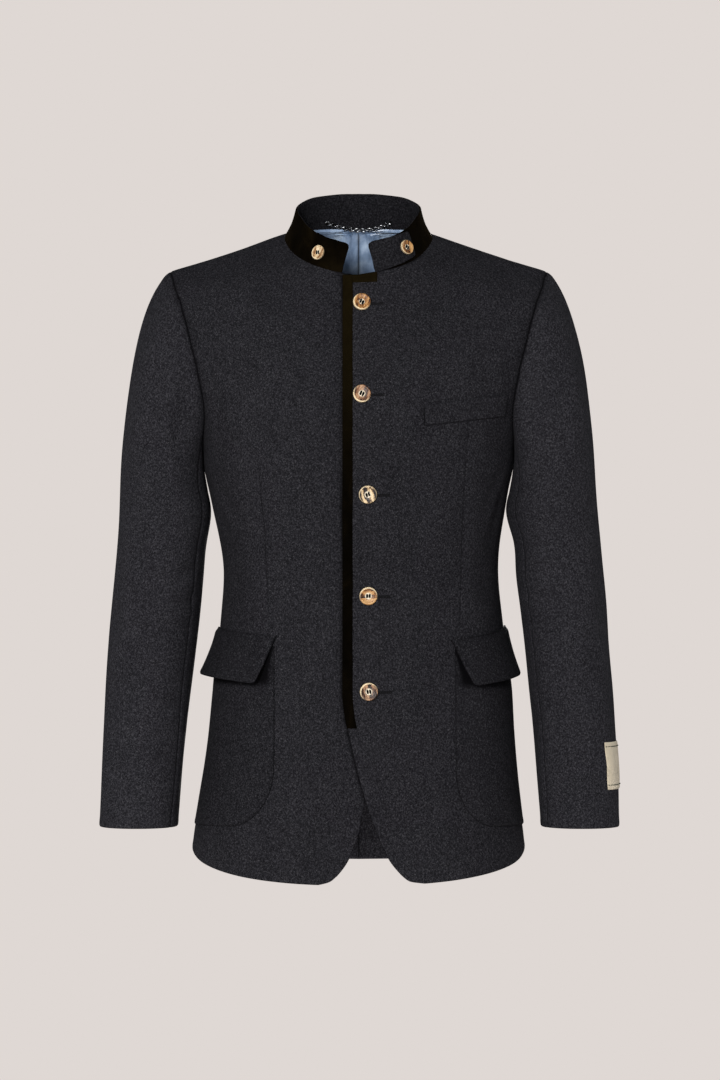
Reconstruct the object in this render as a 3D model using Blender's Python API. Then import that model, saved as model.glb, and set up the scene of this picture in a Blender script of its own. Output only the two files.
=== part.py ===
# Tyrolean loden jacket, filled out with no wearer inside. One closed solid per sewn piece.
# Working unit is the millimetre, scaled to metres when a mesh is made. +Z up, +X to the
# wearer's left, -Y to the front, origin at the neck on the level of the neck-side points.
import bpy
import math
import numpy as np

MM = 0.001
CLOTH = 2.0            # loden wall
GAP = 0.3              # between pieces at a seam
HALF = GAP / 2
PATCH = 1.8            # patch pocket, flap and welt cloth
TRIM = 1.2             # velvet edge trim
LINING = 1.0
COLLAR_WALL = 1.5      # each of the two collar layers
SAMPLES = 161          # points along a control row

# ------------------------------------------------------------------ section tables
# Each row of the body runs from the centre line out to the armhole or the side seam.
#  z_in, y_in          height and depth on the centre line
#  x_out, y_out, z_out armhole or side seam point
#  full                1 is a straight row, 2 an ellipse, more is squarer
#  bow                 how late along the row the height change comes
#  turn                part of the quarter turn that is done at x_out
COLUMNS = "z_in y_in x_out y_out z_out full bow turn"
FRONT_HEM_UP = [
    (-744.5, -129.5, 194.0, 2, -708, 2.3, 2.45, 1.0),
    (-711, -130.0, 191.3, 2, -685, 2.3, 2.5, 1.0),
    (-675, -130.0, 187.3, 3, -664, 2.3, 2.5, 1.0),
    (-634, -129.5, 182.6, 4, -629, 2.3, 2.4, 1.0),
    (-581, -128.0, 177.0, 5, -579, 2.3, 2.2, 1.0),
    (-528, -126.3, 172.8, 6, -527, 2.3, 2.0, 1.0),
    (-475, -124.0, 167.8, 6, -475, 2.3, 2.0, 1.0),
    (-430, -123.0, 163.3, 6, -430, 2.3, 2.0, 1.0),
    (-388, -123.6, 160.6, 6, -388, 2.3, 2.0, 1.0),
    (-353, -125.2, 164.0, 7, -353, 2.3, 2.0, 1.0),
    (-319, -127.2, 170.5, 8, -319, 2.3, 2.0, 1.0),
    (-290, -128.6, 176.3, 8, -290, 2.3, 2.0, 1.0),
]
FRONT_ARMHOLE_UP = [
    (-256, -129.0, 182.5, 8, -256, 2.3, 2.0, 1.0),
    (-249, -129.0, 181.6, -14, -250, 2.3, 2.0, 0.922),
    (-239, -128.5, 180.3, -32, -240, 2.3, 2.0, 0.843),
    (-210, -126.5, 178.0, -50, -213, 2.3, 2.0, 0.750),
    (-175, -121.0, 181.3, -58, -182, 2.3, 1.9, 0.691),
    (-140, -111.0, 187.7, -59, -150, 2.3, 1.8, 0.655),
    (-105, -97.0, 195.0, -54, -122, 2.3, 1.7, 0.633),
    (-75, -82.5, 201.0, -46, -98, 2.3, 1.5, 0.624),
    (-48, -68.5, 206.5, -38, -78, 2.3, 1.4, 0.624),
]
FRONT_NECK_UP = [
    (-40, -64.0, 210.5, -31, -69, 2.1, 1.3, 0.645),
    (-25, -55.0, 214.5, -22, -58, 1.8, 1.1, 0.657),
    (-4, -37.0, 217.3, -9, -47, 1.5, 1.0, 0.680),
]
SHOULDER = [(30, 1.4, 219.0, 7, -38, 1.0, 1.0, 0.700)]
BACK_NECK_DOWN = [
    (31, 24, 218.3, 18, -44, 1.2, 1.2, 0.710),
    (28, 43, 217.0, 30, -52, 1.5, 1.3, 0.720),
    (22, 54, 215.0, 39, -61, 1.8, 1.35, 0.730),
]
BACK_ARMHOLE_DOWN = [
    (14, 61.0, 212.5, 46, -71, 2.1, 1.4, 0.740),
    (-12, 79.0, 207.0, 57, -96, 2.3, 1.5, 0.740),
    (-48, 101.0, 201.5, 65, -128, 2.3, 1.6, 0.725),
    (-90, 119.5, 196.0, 68, -160, 2.3, 1.7, 0.720),
    (-140, 132.5, 191.0, 66, -190, 2.3, 1.8, 0.740),
    (-190, 138.0, 186.5, 56, -220, 2.3, 1.9, 0.795),
    (-231, 137.5, 183.6, 38, -243, 2.3, 2.0, 0.870),
    (-246, 136.5, 182.8, 22, -251.5, 2.3, 2.0, 0.935),
    (-256, 135.3, 182.5, 8, -256, 2.3, 2.0, 1.0),
]
BACK_HEM_DOWN = [
    (-290, 130.0, 176.3, 8, -290, 2.3, 2.0, 1.0),
    (-319, 124.0, 170.5, 8, -319, 2.3, 2.0, 1.0),
    (-353, 117.0, 164.0, 7, -353, 2.3, 2.0, 1.0),
    (-388, 111.5, 160.6, 6, -388, 2.3, 2.0, 1.0),
    (-430, 109.5, 163.3, 6, -430, 2.3, 2.0, 1.0),
    (-475, 112.5, 167.8, 6, -475, 2.3, 2.0, 1.0),
    (-528, 118.5, 172.8, 6, -527, 2.3, 2.0, 1.0),
    (-581, 123.5, 177.0, 5, -579, 2.3, 2.2, 1.0),
    (-634, 126.5, 182.6, 4, -629, 2.3, 2.2, 1.0),
    (-675, 127.5, 187.3, 3, -664, 2.3, 2.2, 1.0),
    (-709, 128.0, 191.3, 2, -685, 2.3, 2.2, 1.0),
    (-738, 128.0, 194.0, 2, -708, 2.3, 2.2, 1.0),
]
# How far the sides lean to the wearer's left at each height; the middle of the fronts stays.
SWAY = [(-744.5, 0.0), (-675, 0.4), (-634, 1.4), (-581, 2.9), (-528, 4.2), (-475, 4.0),
        (-430, 3.4), (-388, 2.9), (-353, 1.7), (-319, 0.7), (-290, 0.0)]
SWAY_FROM, SWAY_OVER = 90.0, 80.0
# Half-width of the neckline on each control row from centre front to centre back.
NECK_HALF = [0, 30, 58, 76, 86, 78, 60, 35, 0]

# Front edges, across the body from the centre line: minus is past it, under the lap.
EDGE_COLUMNS = "z left right"
EDGES = [
    (-744.5, 75.0, 45.0), (-741, 58.4, 33.0), (-731.5, 47.0, 22.0), (-715.5, 34.6, 11.0),
    (-697, 25.5, 3.6), (-681, 19.0, -1.5), (-668, 14.0, -4.0), (-651, 8.5, -7.0),
    (-625, 1.0, -15.0), (-602, -4.5, -22.5), (-565, -12.8, -28.5), (-545, -16.4, -29.0),
    (-530, -17.6, -29.0), (-300, -17.6, -26.0), (-48, -17.6, -22.0),
]
TRIM_WIDE = 11.0
LAP = 2.45             # how far the under front sits back beneath the lap
LAP_FULL, LAP_FADE = 20.0, 32.0

# Rows that the panels are cut into, by height on the centre line.
FRONT_CUT = [-48, -75, -105, -140, -176, -207, -232, -248, -256,
             -290, -325, -360, -395, -430, -468, -505, -536, -567, -603, -638, -666, -690,
             -711, -726, -737, -744.5]
BACK_CUT = [14, -14, -50, -95, -145, -195, -232, -247, -256,
            -290, -325, -360, -395, -430, -475, -522, -570, -620, -665, -703, -738]
NECK_CUT_FRONT = [20, 40, 60, 76]
NECK_CUT_BACK = [79, 62, 42, 21]
PANEL_COLUMNS = 9

# Sleeves: inner and outer line, and the depth, down from the biceps. _r is the wearer's right.
SLEEVE_COLUMNS = "z in_r out_r in_l out_l y_mid deep"
SLEEVE = [
    (-290, 177.7, 278.5, 178.2, 277.8, 3, 148),
    (-319, 171.6, 280.3, 172.6, 279.6, 4, 142),
    (-353, 176.4, 282.5, 181.6, 282.5, 4, 135),
    (-388, 180.8, 284.9, 184.5, 285.8, 4, 129),
    (-423, 184.3, 287.2, 188.6, 288.8, 2, 124),
    (-475, 190.0, 291.5, 194.0, 292.6, -3, 116),
    (-528, 195.6, 295.0, 199.3, 296.8, -10, 110),
    (-581, 200.6, 297.2, 204.6, 299.6, -18, 104),
    (-634, 205.2, 299.0, 208.6, 301.4, -27, 99),
    (-684, 209.0, 300.4, 211.2, 302.0, -36, 95),
]
SLEEVE_FULL = 2.15
# How the cloth leaves the armhole at four places, and how long it holds that direction.
HEAD_COLUMNS = "out fore down hold rise"
HEAD = {"top": (0.76, 0.0, -0.65, 45, 118), "front": (0.62, -0.34, -0.70, 42, 72),
        "under": (0.02, 0.0, -1.0, 10, 13), "back": (0.62, 0.34, -0.70, 42, 72)}
HEAD_STEPS = [0.0, 0.10, 0.24, 0.42, 0.68, 1.0]
SLEEVE_CUT = [-335, -375, -420, -470, -520, -570, -618, -655, -684]
SEAM_FORE, SEAM_AFT = 140.0, 232.0     # degrees round the sleeve from its outer line


# ------------------------------------------------------------------ small helpers
def table(names, rows):
    return {n: np.array([r[i] for r in rows], float) for i, n in enumerate(names.split())}


def smooth(x):
    x = np.clip(x, 0.0, 1.0)
    return x * x * (3 - 2 * x)


def unit(v):
    v = np.asarray(v, float)
    return v / np.maximum(np.linalg.norm(v, axis=-1, keepdims=True), 1e-12)


def lengths(p):
    step = np.linalg.norm(np.diff(p, axis=0), axis=1)
    return np.concatenate([[0.0], np.cumsum(step)])


class Spline:
    """Natural cubic through values of any shape."""

    def __init__(self, t, y):
        t, y = np.asarray(t, float), np.asarray(y, float)
        n, h = len(t), np.diff(t)
        a = np.zeros((n, n))
        b = np.zeros((n,) + y.shape[1:])
        a[0, 0] = a[-1, -1] = 1
        d = np.diff(y, axis=0) / h.reshape((-1,) + (1,) * (y.ndim - 1))
        for i in range(1, n - 1):
            a[i, i - 1], a[i, i], a[i, i + 1] = h[i - 1], 2 * (h[i - 1] + h[i]), h[i]
            b[i] = 6 * (d[i] - d[i - 1])
        self.t, self.y = t, y
        self.m = np.linalg.solve(a, b.reshape(n, -1)).reshape(b.shape)

    def __call__(self, q):
        t, y, m = self.t, self.y, self.m
        i = int(np.clip(np.searchsorted(t, q) - 1, 0, len(t) - 2))
        h = t[i + 1] - t[i]
        a, b = (t[i + 1] - q) / h, (q - t[i]) / h
        return a * y[i] + b * y[i + 1] + ((a ** 3 - a) * m[i] + (b ** 3 - b) * m[i + 1]) * h * h / 6


def piecewise(t, y, q):
    """Monotone cubic, so that an edge never overshoots its table."""
    t, y = np.asarray(t, float), np.asarray(y, float)
    d = np.diff(y) / np.diff(t)
    s = np.zeros(len(t))
    s[0], s[-1] = d[0], d[-1]
    for i in range(1, len(t) - 1):
        if d[i - 1] * d[i] > 0:
            s[i] = 2 * d[i - 1] * d[i] / (d[i - 1] + d[i])
    i = int(np.clip(np.searchsorted(t, q) - 1, 0, len(t) - 2))
    h = t[i + 1] - t[i]
    x = np.clip((q - t[i]) / h, 0, 1)
    return ((1 + 2 * x) * (1 - x) ** 2 * y[i] + x * (1 - x) ** 2 * h * s[i]
            + x * x * (3 - 2 * x) * y[i + 1] + x * x * (x - 1) * h * s[i + 1])


# ------------------------------------------------------------------ the body surface
class Body:
    """One smooth sheet from the front hem over the shoulder to the back hem (left half)."""

    def __init__(self):
        rows = (FRONT_HEM_UP + FRONT_ARMHOLE_UP + FRONT_NECK_UP + SHOULDER
                + BACK_NECK_DOWN + BACK_ARMHOLE_DOWN + BACK_HEM_DOWN)
        t = table(COLUMNS, rows)
        self.count = len(rows)
        curves, arms = [], []
        for k in range(self.count):
            curve, arm = self.control({n: t[n][k] for n in t})
            curves.append(curve)
            arms.append(arm)
        curves = np.array(curves)
        mid = curves[:, 10:110:10, :]
        step = np.linalg.norm(np.diff(mid, axis=0), axis=2).mean(axis=1)
        self.knots = np.concatenate([[0.0], np.cumsum(step)])
        self.sheet = Spline(self.knots, curves)
        a, b, c = len(FRONT_HEM_UP), len(FRONT_ARMHOLE_UP), len(FRONT_NECK_UP)
        self.v_under_front = self.knots[a]
        self.v_neck_front = self.knots[a + b - 1]
        self.v_shoulder = self.knots[a + b + c]
        first = a + b + c + 1 + len(BACK_NECK_DOWN)
        self.v_neck_back = self.knots[first]
        self.v_under_back = self.knots[first + len(BACK_ARMHOLE_DOWN) - 1]
        self.v_end = self.knots[-1]
        self.arms = np.array(arms)
        self.z_centre = t["z_in"]
        self.i_front, self.i_shoulder = a, a + b + c
        self.i_back = first + len(BACK_ARMHOLE_DOWN) - 1
        self.i_neck = (a + b - 1, first)

    @staticmethod
    def control(r):
        n, c = r["full"], r["turn"] * math.pi / 2
        th = np.linspace(0, math.pi / 2, 1201)

        def s_of(q):
            return np.sin(q) ** (2 / n)

        def c_of(q):
            return np.clip(np.cos(q), 0, 1) ** (2 / n)
        x = r["x_out"] * s_of(th) / s_of(c)
        y = r["y_in"] + (r["y_out"] - r["y_in"]) * (1 - c_of(th)) / (1 - c_of(c))
        flat = lengths(np.column_stack([x, y]))
        out = np.interp(c, th, flat)
        z = r["z_in"] + (r["z_out"] - r["z_in"]) * (flat / out) ** r["bow"]
        p = np.column_stack([x, y, z])
        far = lengths(p)
        q = np.linspace(0, far[-1], SAMPLES)
        curve = np.column_stack([np.interp(q, far, p[:, i]) for i in range(3)])
        return curve, np.interp(c, th, far) / far[-1]

    def row(self, v):
        return self.sheet(v)

    def point(self, v, s):
        row = self.row(v)
        f = abs(s) * (SAMPLES - 1)
        i = int(min(f, SAMPLES - 2))
        p = row[i] + (row[i + 1] - row[i]) * (f - i)
        return p * np.array([-1, 1, 1]) if s < 0 else p

    def length(self, v):
        return lengths(self.row(v))[-1]

    def arm(self, v):
        """Part of the row at which the armhole or side seam cuts it."""
        if self.v_under_front >= v or v >= self.v_under_back:
            return 1.0
        k, a = self.knots, self.arms
        return float(piecewise(k[self.i_front:self.i_back + 1],
                               a[self.i_front:self.i_back + 1], v))

    def neck(self, v):
        """Part of the row at which the neckline cuts it."""
        i, j = self.i_neck
        if v <= self.knots[i] or v >= self.knots[j]:
            return 0.0
        x = Spline(self.knots[i:j + 1], np.array(NECK_HALF, float))(v)
        row = self.row(v)
        return float(np.interp(max(x, 0), row[:, 0], np.linspace(0, 1, SAMPLES)))

    def v_at_height(self, z, back=False):
        lo, hi = (self.v_neck_back, self.v_end) if back else (0.0, self.v_neck_front)
        q = np.linspace(lo, hi, 600)
        h = np.array([self.row(v)[0, 2] for v in q])
        order = np.argsort(h)
        return float(np.interp(z, h[order], q[order]))

    def v_at_neck(self, x, back=False):
        lo, hi = (self.v_shoulder, self.v_neck_back) if back else (self.v_neck_front, self.v_shoulder)
        q = np.linspace(lo, hi, 200)
        i, j = self.i_neck
        sp = Spline(self.knots[i:j + 1], np.array(NECK_HALF, float))
        h = np.array([sp(v) for v in q])
        order = np.argsort(h)
        return float(np.interp(x, h[order], q[order]))

    def normal(self, v, s):
        dv, ds = 1.5, 0.006
        s = float(np.clip(s, -0.4, 1.0))
        s0, s1 = s - ds, min(s + ds, 1.0)
        v0, v1 = max(v - dv, 0), min(v + dv, self.v_end)
        n = np.cross(self.point(v1, s) - self.point(v0, s), self.point(v, s1) - self.point(v, s0))
        n = unit(n)
        mid = np.array([0.0, 5.0, self.point(v, s)[2] - 60.0])
        return n if np.dot(n, self.point(v, s) - mid) > 0 else -n


def swayed(name, points):
    """The torso's sides moved by the lean. Sleeves and their label hang straight."""
    points = np.array(points, float)
    if name.startswith(("sleeve", "label")):
        return points
    lean = np.array(SWAY)
    by = np.interp(points[:, 2], lean[:, 0], lean[:, 1])
    points[:, 0] += by * smooth((np.abs(points[:, 0]) - SWAY_FROM) / SWAY_OVER)
    return points


# ------------------------------------------------------------------ solids
def build(name, points, faces):
    """One closed body, turned outward, in metres."""
    points = swayed(name, points)
    vol = 0.0
    for f in faces:
        for i in range(1, len(f) - 1):
            vol += np.dot(points[f[0]], np.cross(points[f[i]], points[f[i + 1]]))
    if vol < 0:
        faces = [tuple(reversed(f)) for f in faces]
    mesh = bpy.data.meshes.new(name)
    mesh.from_pydata([tuple(p * MM) for p in points], [], [tuple(f) for f in faces])
    mesh.update()
    ob = bpy.data.objects.new(name, mesh)
    bpy.context.scene.collection.objects.link(ob)
    return ob


def wall(name, outer, inner, faces):
    """Outer faces, the same faces on the inner points, and a rim where an edge is used once."""
    n = len(outer)
    pts = np.concatenate([outer, inner])
    tris = []
    for f in faces:
        tris += [(f[0], f[1], f[2]), (f[0], f[2], f[3])] if len(f) == 4 else [tuple(f)]
    used = {}
    for f in tris:
        for a, b in zip(f, f[1:] + f[:1]):
            used[(a, b)] = used.get((a, b), 0) + 1
    out = list(tris) + [tuple(n + i for i in reversed(f)) for f in tris]
    for a, b in used:
        if (b, a) not in used:
            out += [(b, a, n + a), (b, n + a, n + b)]
    keep = sorted({i for f in out for i in f})
    new = {k: i for i, k in enumerate(keep)}
    return build(name, pts[keep], [tuple(new[i] for i in f) for f in out])


def clip(poly, outline):
    """Cut a polygon of (a, z, weights...) rows by a convex outline given anticlockwise."""
    for p, q in zip(outline, outline[1:] + outline[:1]):
        def side(r):
            return (q[0] - p[0]) * (r[1] - p[1]) - (q[1] - p[1]) * (r[0] - p[0])
        out = []
        for r0, r1 in zip(poly, poly[1:] + poly[:1]):
            d0, d1 = side(r0), side(r1)
            if d0 >= 0:
                out.append(r0)
            if (d0 >= 0) != (d1 >= 0):
                out.append(r0 + (r1 - r0) * (d0 / (d0 - d1)))
        poly = out
        if len(poly) < 3:
            return []
    return poly


def patch(name, skin, outline, thick, rise=None, lift=GAP):
    """A piece that lies on a panel, cut from the panel's own points and moved out."""
    area = sum(a[0] * b[1] - b[0] * a[1] for a, b in zip(outline, outline[1:] + outline[:1]))
    outline = list(outline) if area > 0 else list(reversed(outline))
    rise = rise or (lambda a, z: 0.0)
    pts, nor, key, faces = [], [], {}, []
    for f in skin["faces"]:
        for tri in ([f[0], f[1], f[2]], [f[0], f[2], f[3]]):
            poly = [np.concatenate([skin["flat"][i], skin["p"][i], skin["n"][i]]) for i in tri]
            e = (poly[1] - poly[0], poly[2] - poly[0])
            if e[0][0] * e[1][1] - e[0][1] * e[1][0] < 0:
                poly.reverse()
            loop = []
            for r in clip(poly, outline):
                k = (round(r[0] * 20), round(r[1] * 20))
                if k not in key:
                    key[k] = len(pts)
                    m = unit(r[5:8])
                    pts.append(r[2:5] + m * (lift + rise(r[0], r[1])))
                    nor.append(m)
                if key[k] not in loop:
                    loop.append(key[k])
            if len(loop) >= 3:
                for i in range(1, len(loop) - 1):
                    faces.append((loop[0], loop[i], loop[i + 1]))
    pts, nor = np.array(pts), np.array(nor)
    return wall(name, pts + nor * thick, pts, faces)


body = Body()
edges = table(EDGE_COLUMNS, EDGES)


# ------------------------------------------------------------------ armholes
def arm_spot(v):
    """Armhole point with its two cloth directions: (point, body normal, sleeve normal, gap way)."""
    s = body.arm(v)
    e = body.point(v, s)
    dv = 3.0
    lo, hi = body.v_under_front, body.v_under_back
    a, b = max(v - dv, lo + 1e-3), min(v + dv, hi - 1e-3)
    tau = unit(body.point(a, body.arm(a)) - body.point(b, body.arm(b)))
    n_t = body.normal(v, s)
    t_t = unit(np.cross(n_t, tau))
    if t_t[0] < 0 and abs(n_t[0]) < 0.8:
        t_t = -t_t
    away = head_way(turn_of(v))["dir"]
    t_s = unit(away - tau * np.dot(away, tau))
    n_s = unit(np.cross(tau, t_s))
    c = float(np.dot(n_t, t_s))
    gap_way = unit(t_t + t_s + max(0.0, c) * 3 * (n_t - n_s))
    w = float(np.clip(-c / 0.12, 0, 1))
    m_t = unit(n_t + w * n_s)
    m_s = unit(n_s + w * n_t)
    return e, m_t / max(np.dot(m_t, n_t), 0.75), m_s / max(np.dot(m_s, n_s), 0.75), gap_way


def arm_track():
    lo, hi = body.v_under_front, body.v_under_back
    v = np.concatenate([np.linspace(body.v_shoulder, lo + 1e-3, 160),
                        np.linspace(hi - 1e-3, body.v_shoulder, 160)])
    p = np.array([body.point(q, body.arm(q)) for q in v])
    return v, lengths(p), p


ARM_V, ARM_LEN, ARM_P = arm_track()


def turn_of(v):
    """Degrees round the sleeve, 0 at the shoulder, 90 at the front, 180 under the arm."""
    half = ARM_LEN[159]
    if v <= body.v_shoulder:
        i = np.argsort(ARM_V[:160])
        return 180 * float(np.interp(v, ARM_V[:160][i], ARM_LEN[:160][i])) / half
    i = np.argsort(ARM_V[160:])
    far = float(np.interp(v, ARM_V[160:][i], ARM_LEN[160:][i]))
    return 180 + 180 * (far - ARM_LEN[160]) / (ARM_LEN[-1] - ARM_LEN[160])


def v_of_turn(deg):
    deg = deg % 360
    if deg <= 180:
        return float(np.interp(deg / 180 * ARM_LEN[159], ARM_LEN[:160], ARM_V[:160]))
    far = ARM_LEN[160] + (deg - 180) / 180 * (ARM_LEN[-1] - ARM_LEN[160])
    return float(np.interp(far, ARM_LEN[160:], ARM_V[160:]))


def head_way(deg):
    c, s = math.cos(math.radians(deg)), math.sin(math.radians(deg))
    t, f, u, b = (np.array(HEAD[k], float) for k in ("top", "front", "under", "back"))
    v = (t + u) / 2 + (t - u) / 2 * c + (f - b) / 2 * s + ((f + b) / 2 - (t + u) / 2) * s * s
    return {"dir": unit(v[:3]), "hold": v[3], "rise": v[4]}


# ------------------------------------------------------------------ torso panels
FRONT_V = ([body.v_shoulder] + [body.v_at_neck(x) for x in reversed(NECK_CUT_FRONT)]
           + [body.v_neck_front] + [body.v_at_height(z) for z in FRONT_CUT[1:]])
BACK_V = ([body.v_shoulder] + [body.v_at_neck(x, True) for x in NECK_CUT_BACK]
          + [body.v_neck_back] + [body.v_at_height(z, True) for z in BACK_CUT[1:]])
FRONT_V[FRONT_CUT.index(-256) + 5] = body.v_under_front
BACK_V[BACK_CUT.index(-256) + 5] = body.v_under_back
FRONT_V[-1], BACK_V[-1] = 0.0, body.v_end
ARM_ROWS_FRONT = FRONT_CUT.index(-256) + 6
ARM_ROWS_BACK = BACK_CUT.index(-256) + 6


def sink(a, side):
    """The under front sits back beneath the lap."""
    return 0.0 if side > 0 else LAP * float(1 - smooth((a - LAP_FULL) / LAP_FADE))


def vertex(v, s, side, back, inset_s=0.0, at_arm=False):
    n = body.normal(v, s)
    if at_arm:
        e, m, _, way = arm_spot(v)
        p = e - way * HALF
    else:
        p, m = body.point(v, s), n
    if not back:
        p = p - n * sink(s * body.length(v), side)
    if abs(v - body.v_shoulder) < 1e-6:
        across = unit(body.point(v + 2, s) - body.point(v - 2, s))
        p = p + across * (HALF if back else -HALF)
    return p, m, n


def panel(name, side, back):
    vs = BACK_V if back else FRONT_V
    top = 5
    arm_rows = ARM_ROWS_BACK if back else ARM_ROWS_FRONT
    col = "left" if side > 0 else "right"
    lap = 0.0 if back else -edges[col][-1]
    strips = [] if back else ([0.0, TRIM_WIDE, lap] if side > 0 else [0.0, lap / 2, lap])
    extra = max(len(strips) - 1, 0)
    pts, ins, nor, flat, index = [], [], [], [], {}
    for i, v in enumerate(vs):
        size = body.length(v)
        z = body.row(v)[0, 2]
        out = body.arm(v)
        if i >= arm_rows:
            out = 1 - HALF / size
        if i < top:
            start = body.neck(v)
            ss = [None] * extra + list(start + (out - start) * np.linspace(0, 1, PANEL_COLUMNS + 1))
        elif back:
            ss = list(HALF / size + (out - HALF / size) * np.linspace(0, 1, PANEL_COLUMNS + 1))
        else:
            a0 = piecewise(edges["z"], edges[col], z)
            start = (a0 + lap) / size
            ss = ([(a0 + w) / size for w in strips[:-1]]
                  + list(start + (out - start) * np.linspace(0, 1, PANEL_COLUMNS + 1)))
        for j, s in enumerate(ss):
            if s is None:
                continue
            last = j == len(ss) - 1
            p, m, n = vertex(v, s, side, back, at_arm=last and i < arm_rows)
            if last and i == arm_rows - 1:
                p = p + np.array([0, HALF if back else -HALF, 0])
            k = np.array([side, 1, 1])
            index[(i, j)] = len(pts)
            pts.append(p * k)
            ins.append((p - m * CLOTH) * k)
            nor.append(n * k)
            flat.append((s * size, p[2]))
    faces = []
    for i in range(len(vs) - 1):
        for j in range(PANEL_COLUMNS + extra):
            q = [(i, j), (i + 1, j), (i + 1, j + 1), (i, j + 1)]
            if all(k in index for k in q):
                a, b, c, d = (index[k] for k in q)
                faces.append((b, c, d, a) if (side > 0) != back else (d, c, b, a))
    pts, ins = np.array(pts), np.array(ins)
    wall(name, pts, ins, faces)
    return {"p": pts, "n": np.array(nor), "flat": np.array(flat), "faces": faces, "index": index,
            "inner": ins, "rows": len(vs), "cols": PANEL_COLUMNS + extra, "extra": extra}


for old in list(bpy.data.objects):
    bpy.data.objects.remove(old, do_unlink=True)

skins = {}
for word, side in (("left", 1), ("right", -1)):
    skins["front_" + word] = panel("front_" + word, side, False)
    skins["back_" + word] = panel("back_" + word, side, True)


# ------------------------------------------------------------------ sleeves
sections = table(SLEEVE_COLUMNS, SLEEVE)
SECTION_SPLINE = Spline(-sections["z"], np.column_stack([sections[n] for n in SLEEVE_COLUMNS.split()[1:]]))


def section(z, deg, side):
    in_r, out_r, in_l, out_l, y_mid, deep = SECTION_SPLINE(-z)
    near, far = (in_l, out_l) if side > 0 else (in_r, out_r)
    c, s = math.cos(math.radians(deg)), math.sin(math.radians(deg))
    k = 2 / SLEEVE_FULL
    x = (near + far) / 2 + (far - near) / 2 * math.copysign(abs(c) ** k, c)
    y = y_mid - deep / 2 * math.copysign(abs(s) ** k, s)
    return np.array([x, y, z])


def sleeve_point(deg, t, side):
    """t is 0 at the armhole and 1 at the biceps, then 1 more for each millimetre below it."""
    c = math.cos(math.radians(deg))
    zb = -290 + 8 * c
    if t > 1:
        z = zb - (t - 1) * (684 + zb) / (684 - 290)
        return section(z, deg, side)
    v = v_of_turn(deg)
    e, _, _, way = arm_spot(v)
    h = head_way(deg)
    p0 = e + way * HALF
    p3 = section(zb, deg, side)
    p1 = p0 + h["dir"] * h["hold"]
    p2 = p3 + unit(p3 - section(zb - 20, deg, side)) * h["rise"]
    a = 1 - t
    return a ** 3 * p0 + 3 * a * a * t * p1 + 3 * a * t * t * p2 + t ** 3 * p3


def sleeve_normal(deg, t, side):
    d = 2.0
    t0, t1 = (t, t + 0.02) if t < 1 else (t - 2, t + 2)
    if t < 1e-6:
        t1 = 0.03
    around = sleeve_point(deg + d, t, side) - sleeve_point(deg - d, t, side)
    down = sleeve_point(deg, t1, side) - sleeve_point(deg, t0, side)
    return unit(np.cross(around, down))


def nearest_turn(deg, turns):
    return min(range(len(turns)), key=lambda i: abs(turns[i] - deg))


ring_v = (FRONT_V[:ARM_ROWS_FRONT] + list(reversed(BACK_V[1:ARM_ROWS_BACK - 1])))
ring_turn = [turn_of(v) for v in ring_v]
ring_turn = [0.0] + ring_turn[1:ARM_ROWS_FRONT - 1] + [180.0] + ring_turn[ARM_ROWS_FRONT:]
RINGS = HEAD_STEPS + [1 + (-290 - z) for z in SLEEVE_CUT]
fore, aft = nearest_turn(SEAM_FORE, ring_turn), nearest_turn(SEAM_AFT, ring_turn)


def sleeve(word, side):
    n = len(ring_turn)
    grid, inner, norm, flat = {}, {}, {}, {}
    for k in range(n):
        for r, t in enumerate(RINGS):
            deg = ring_turn[k]
            p = sleeve_point(deg, t, side)
            m = sleeve_normal(deg, max(t, 1e-7), side)
            if r == 0:
                _, _, m0, _ = arm_spot(v_of_turn(deg))
                grid[k, r], inner[k, r], norm[k, r] = p, p - m0 * CLOTH, m
            else:
                grid[k, r], inner[k, r], norm[k, r] = p, p - m * CLOTH, m
    mirror = np.array([side, 1, 1])
    out = {}
    upper = list(range(aft, n)) + list(range(0, fore + 1))
    under = list(range(fore, aft + 1))
    for part, ks in (("upper", upper), ("under", under)):
        pts, ins, nor, fl, idx = [], [], [], [], {}
        for r in range(len(RINGS)):
            line = np.array([grid[k, r] for k in ks])
            far = lengths(line)
            zero = far[ks.index(0)] if 0 in ks else 0.0
            for c, k in enumerate(ks):
                p, q = grid[k, r], inner[k, r]
                if c in (0, len(ks) - 1):
                    o = grid[ks[1], r] if c == 0 else grid[ks[-2], r]
                    o = unit(o - p) * HALF
                    p, q = p + o, q + o
                idx[c, r] = len(pts)
                pts.append(p * mirror)
                ins.append(q * mirror)
                nor.append(norm[k, r] * mirror)
                fl.append((far[c] - zero, p[2]))
        faces = []
        for c in range(len(ks) - 1):
            for r in range(len(RINGS) - 1):
                f = (idx[c, r], idx[c, r + 1], idx[c + 1, r + 1], idx[c + 1, r])
                faces.append(f if side > 0 else tuple(reversed(f)))
        name = "sleeve_" + word + "_" + part
        wall(name, np.array(pts), np.array(ins), faces)
        out[part] = {"p": np.array(pts), "n": np.array(nor), "flat": np.array(fl), "faces": faces}
    return out


arms = {"left": sleeve("left", 1), "right": sleeve("right", -1)}

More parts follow.
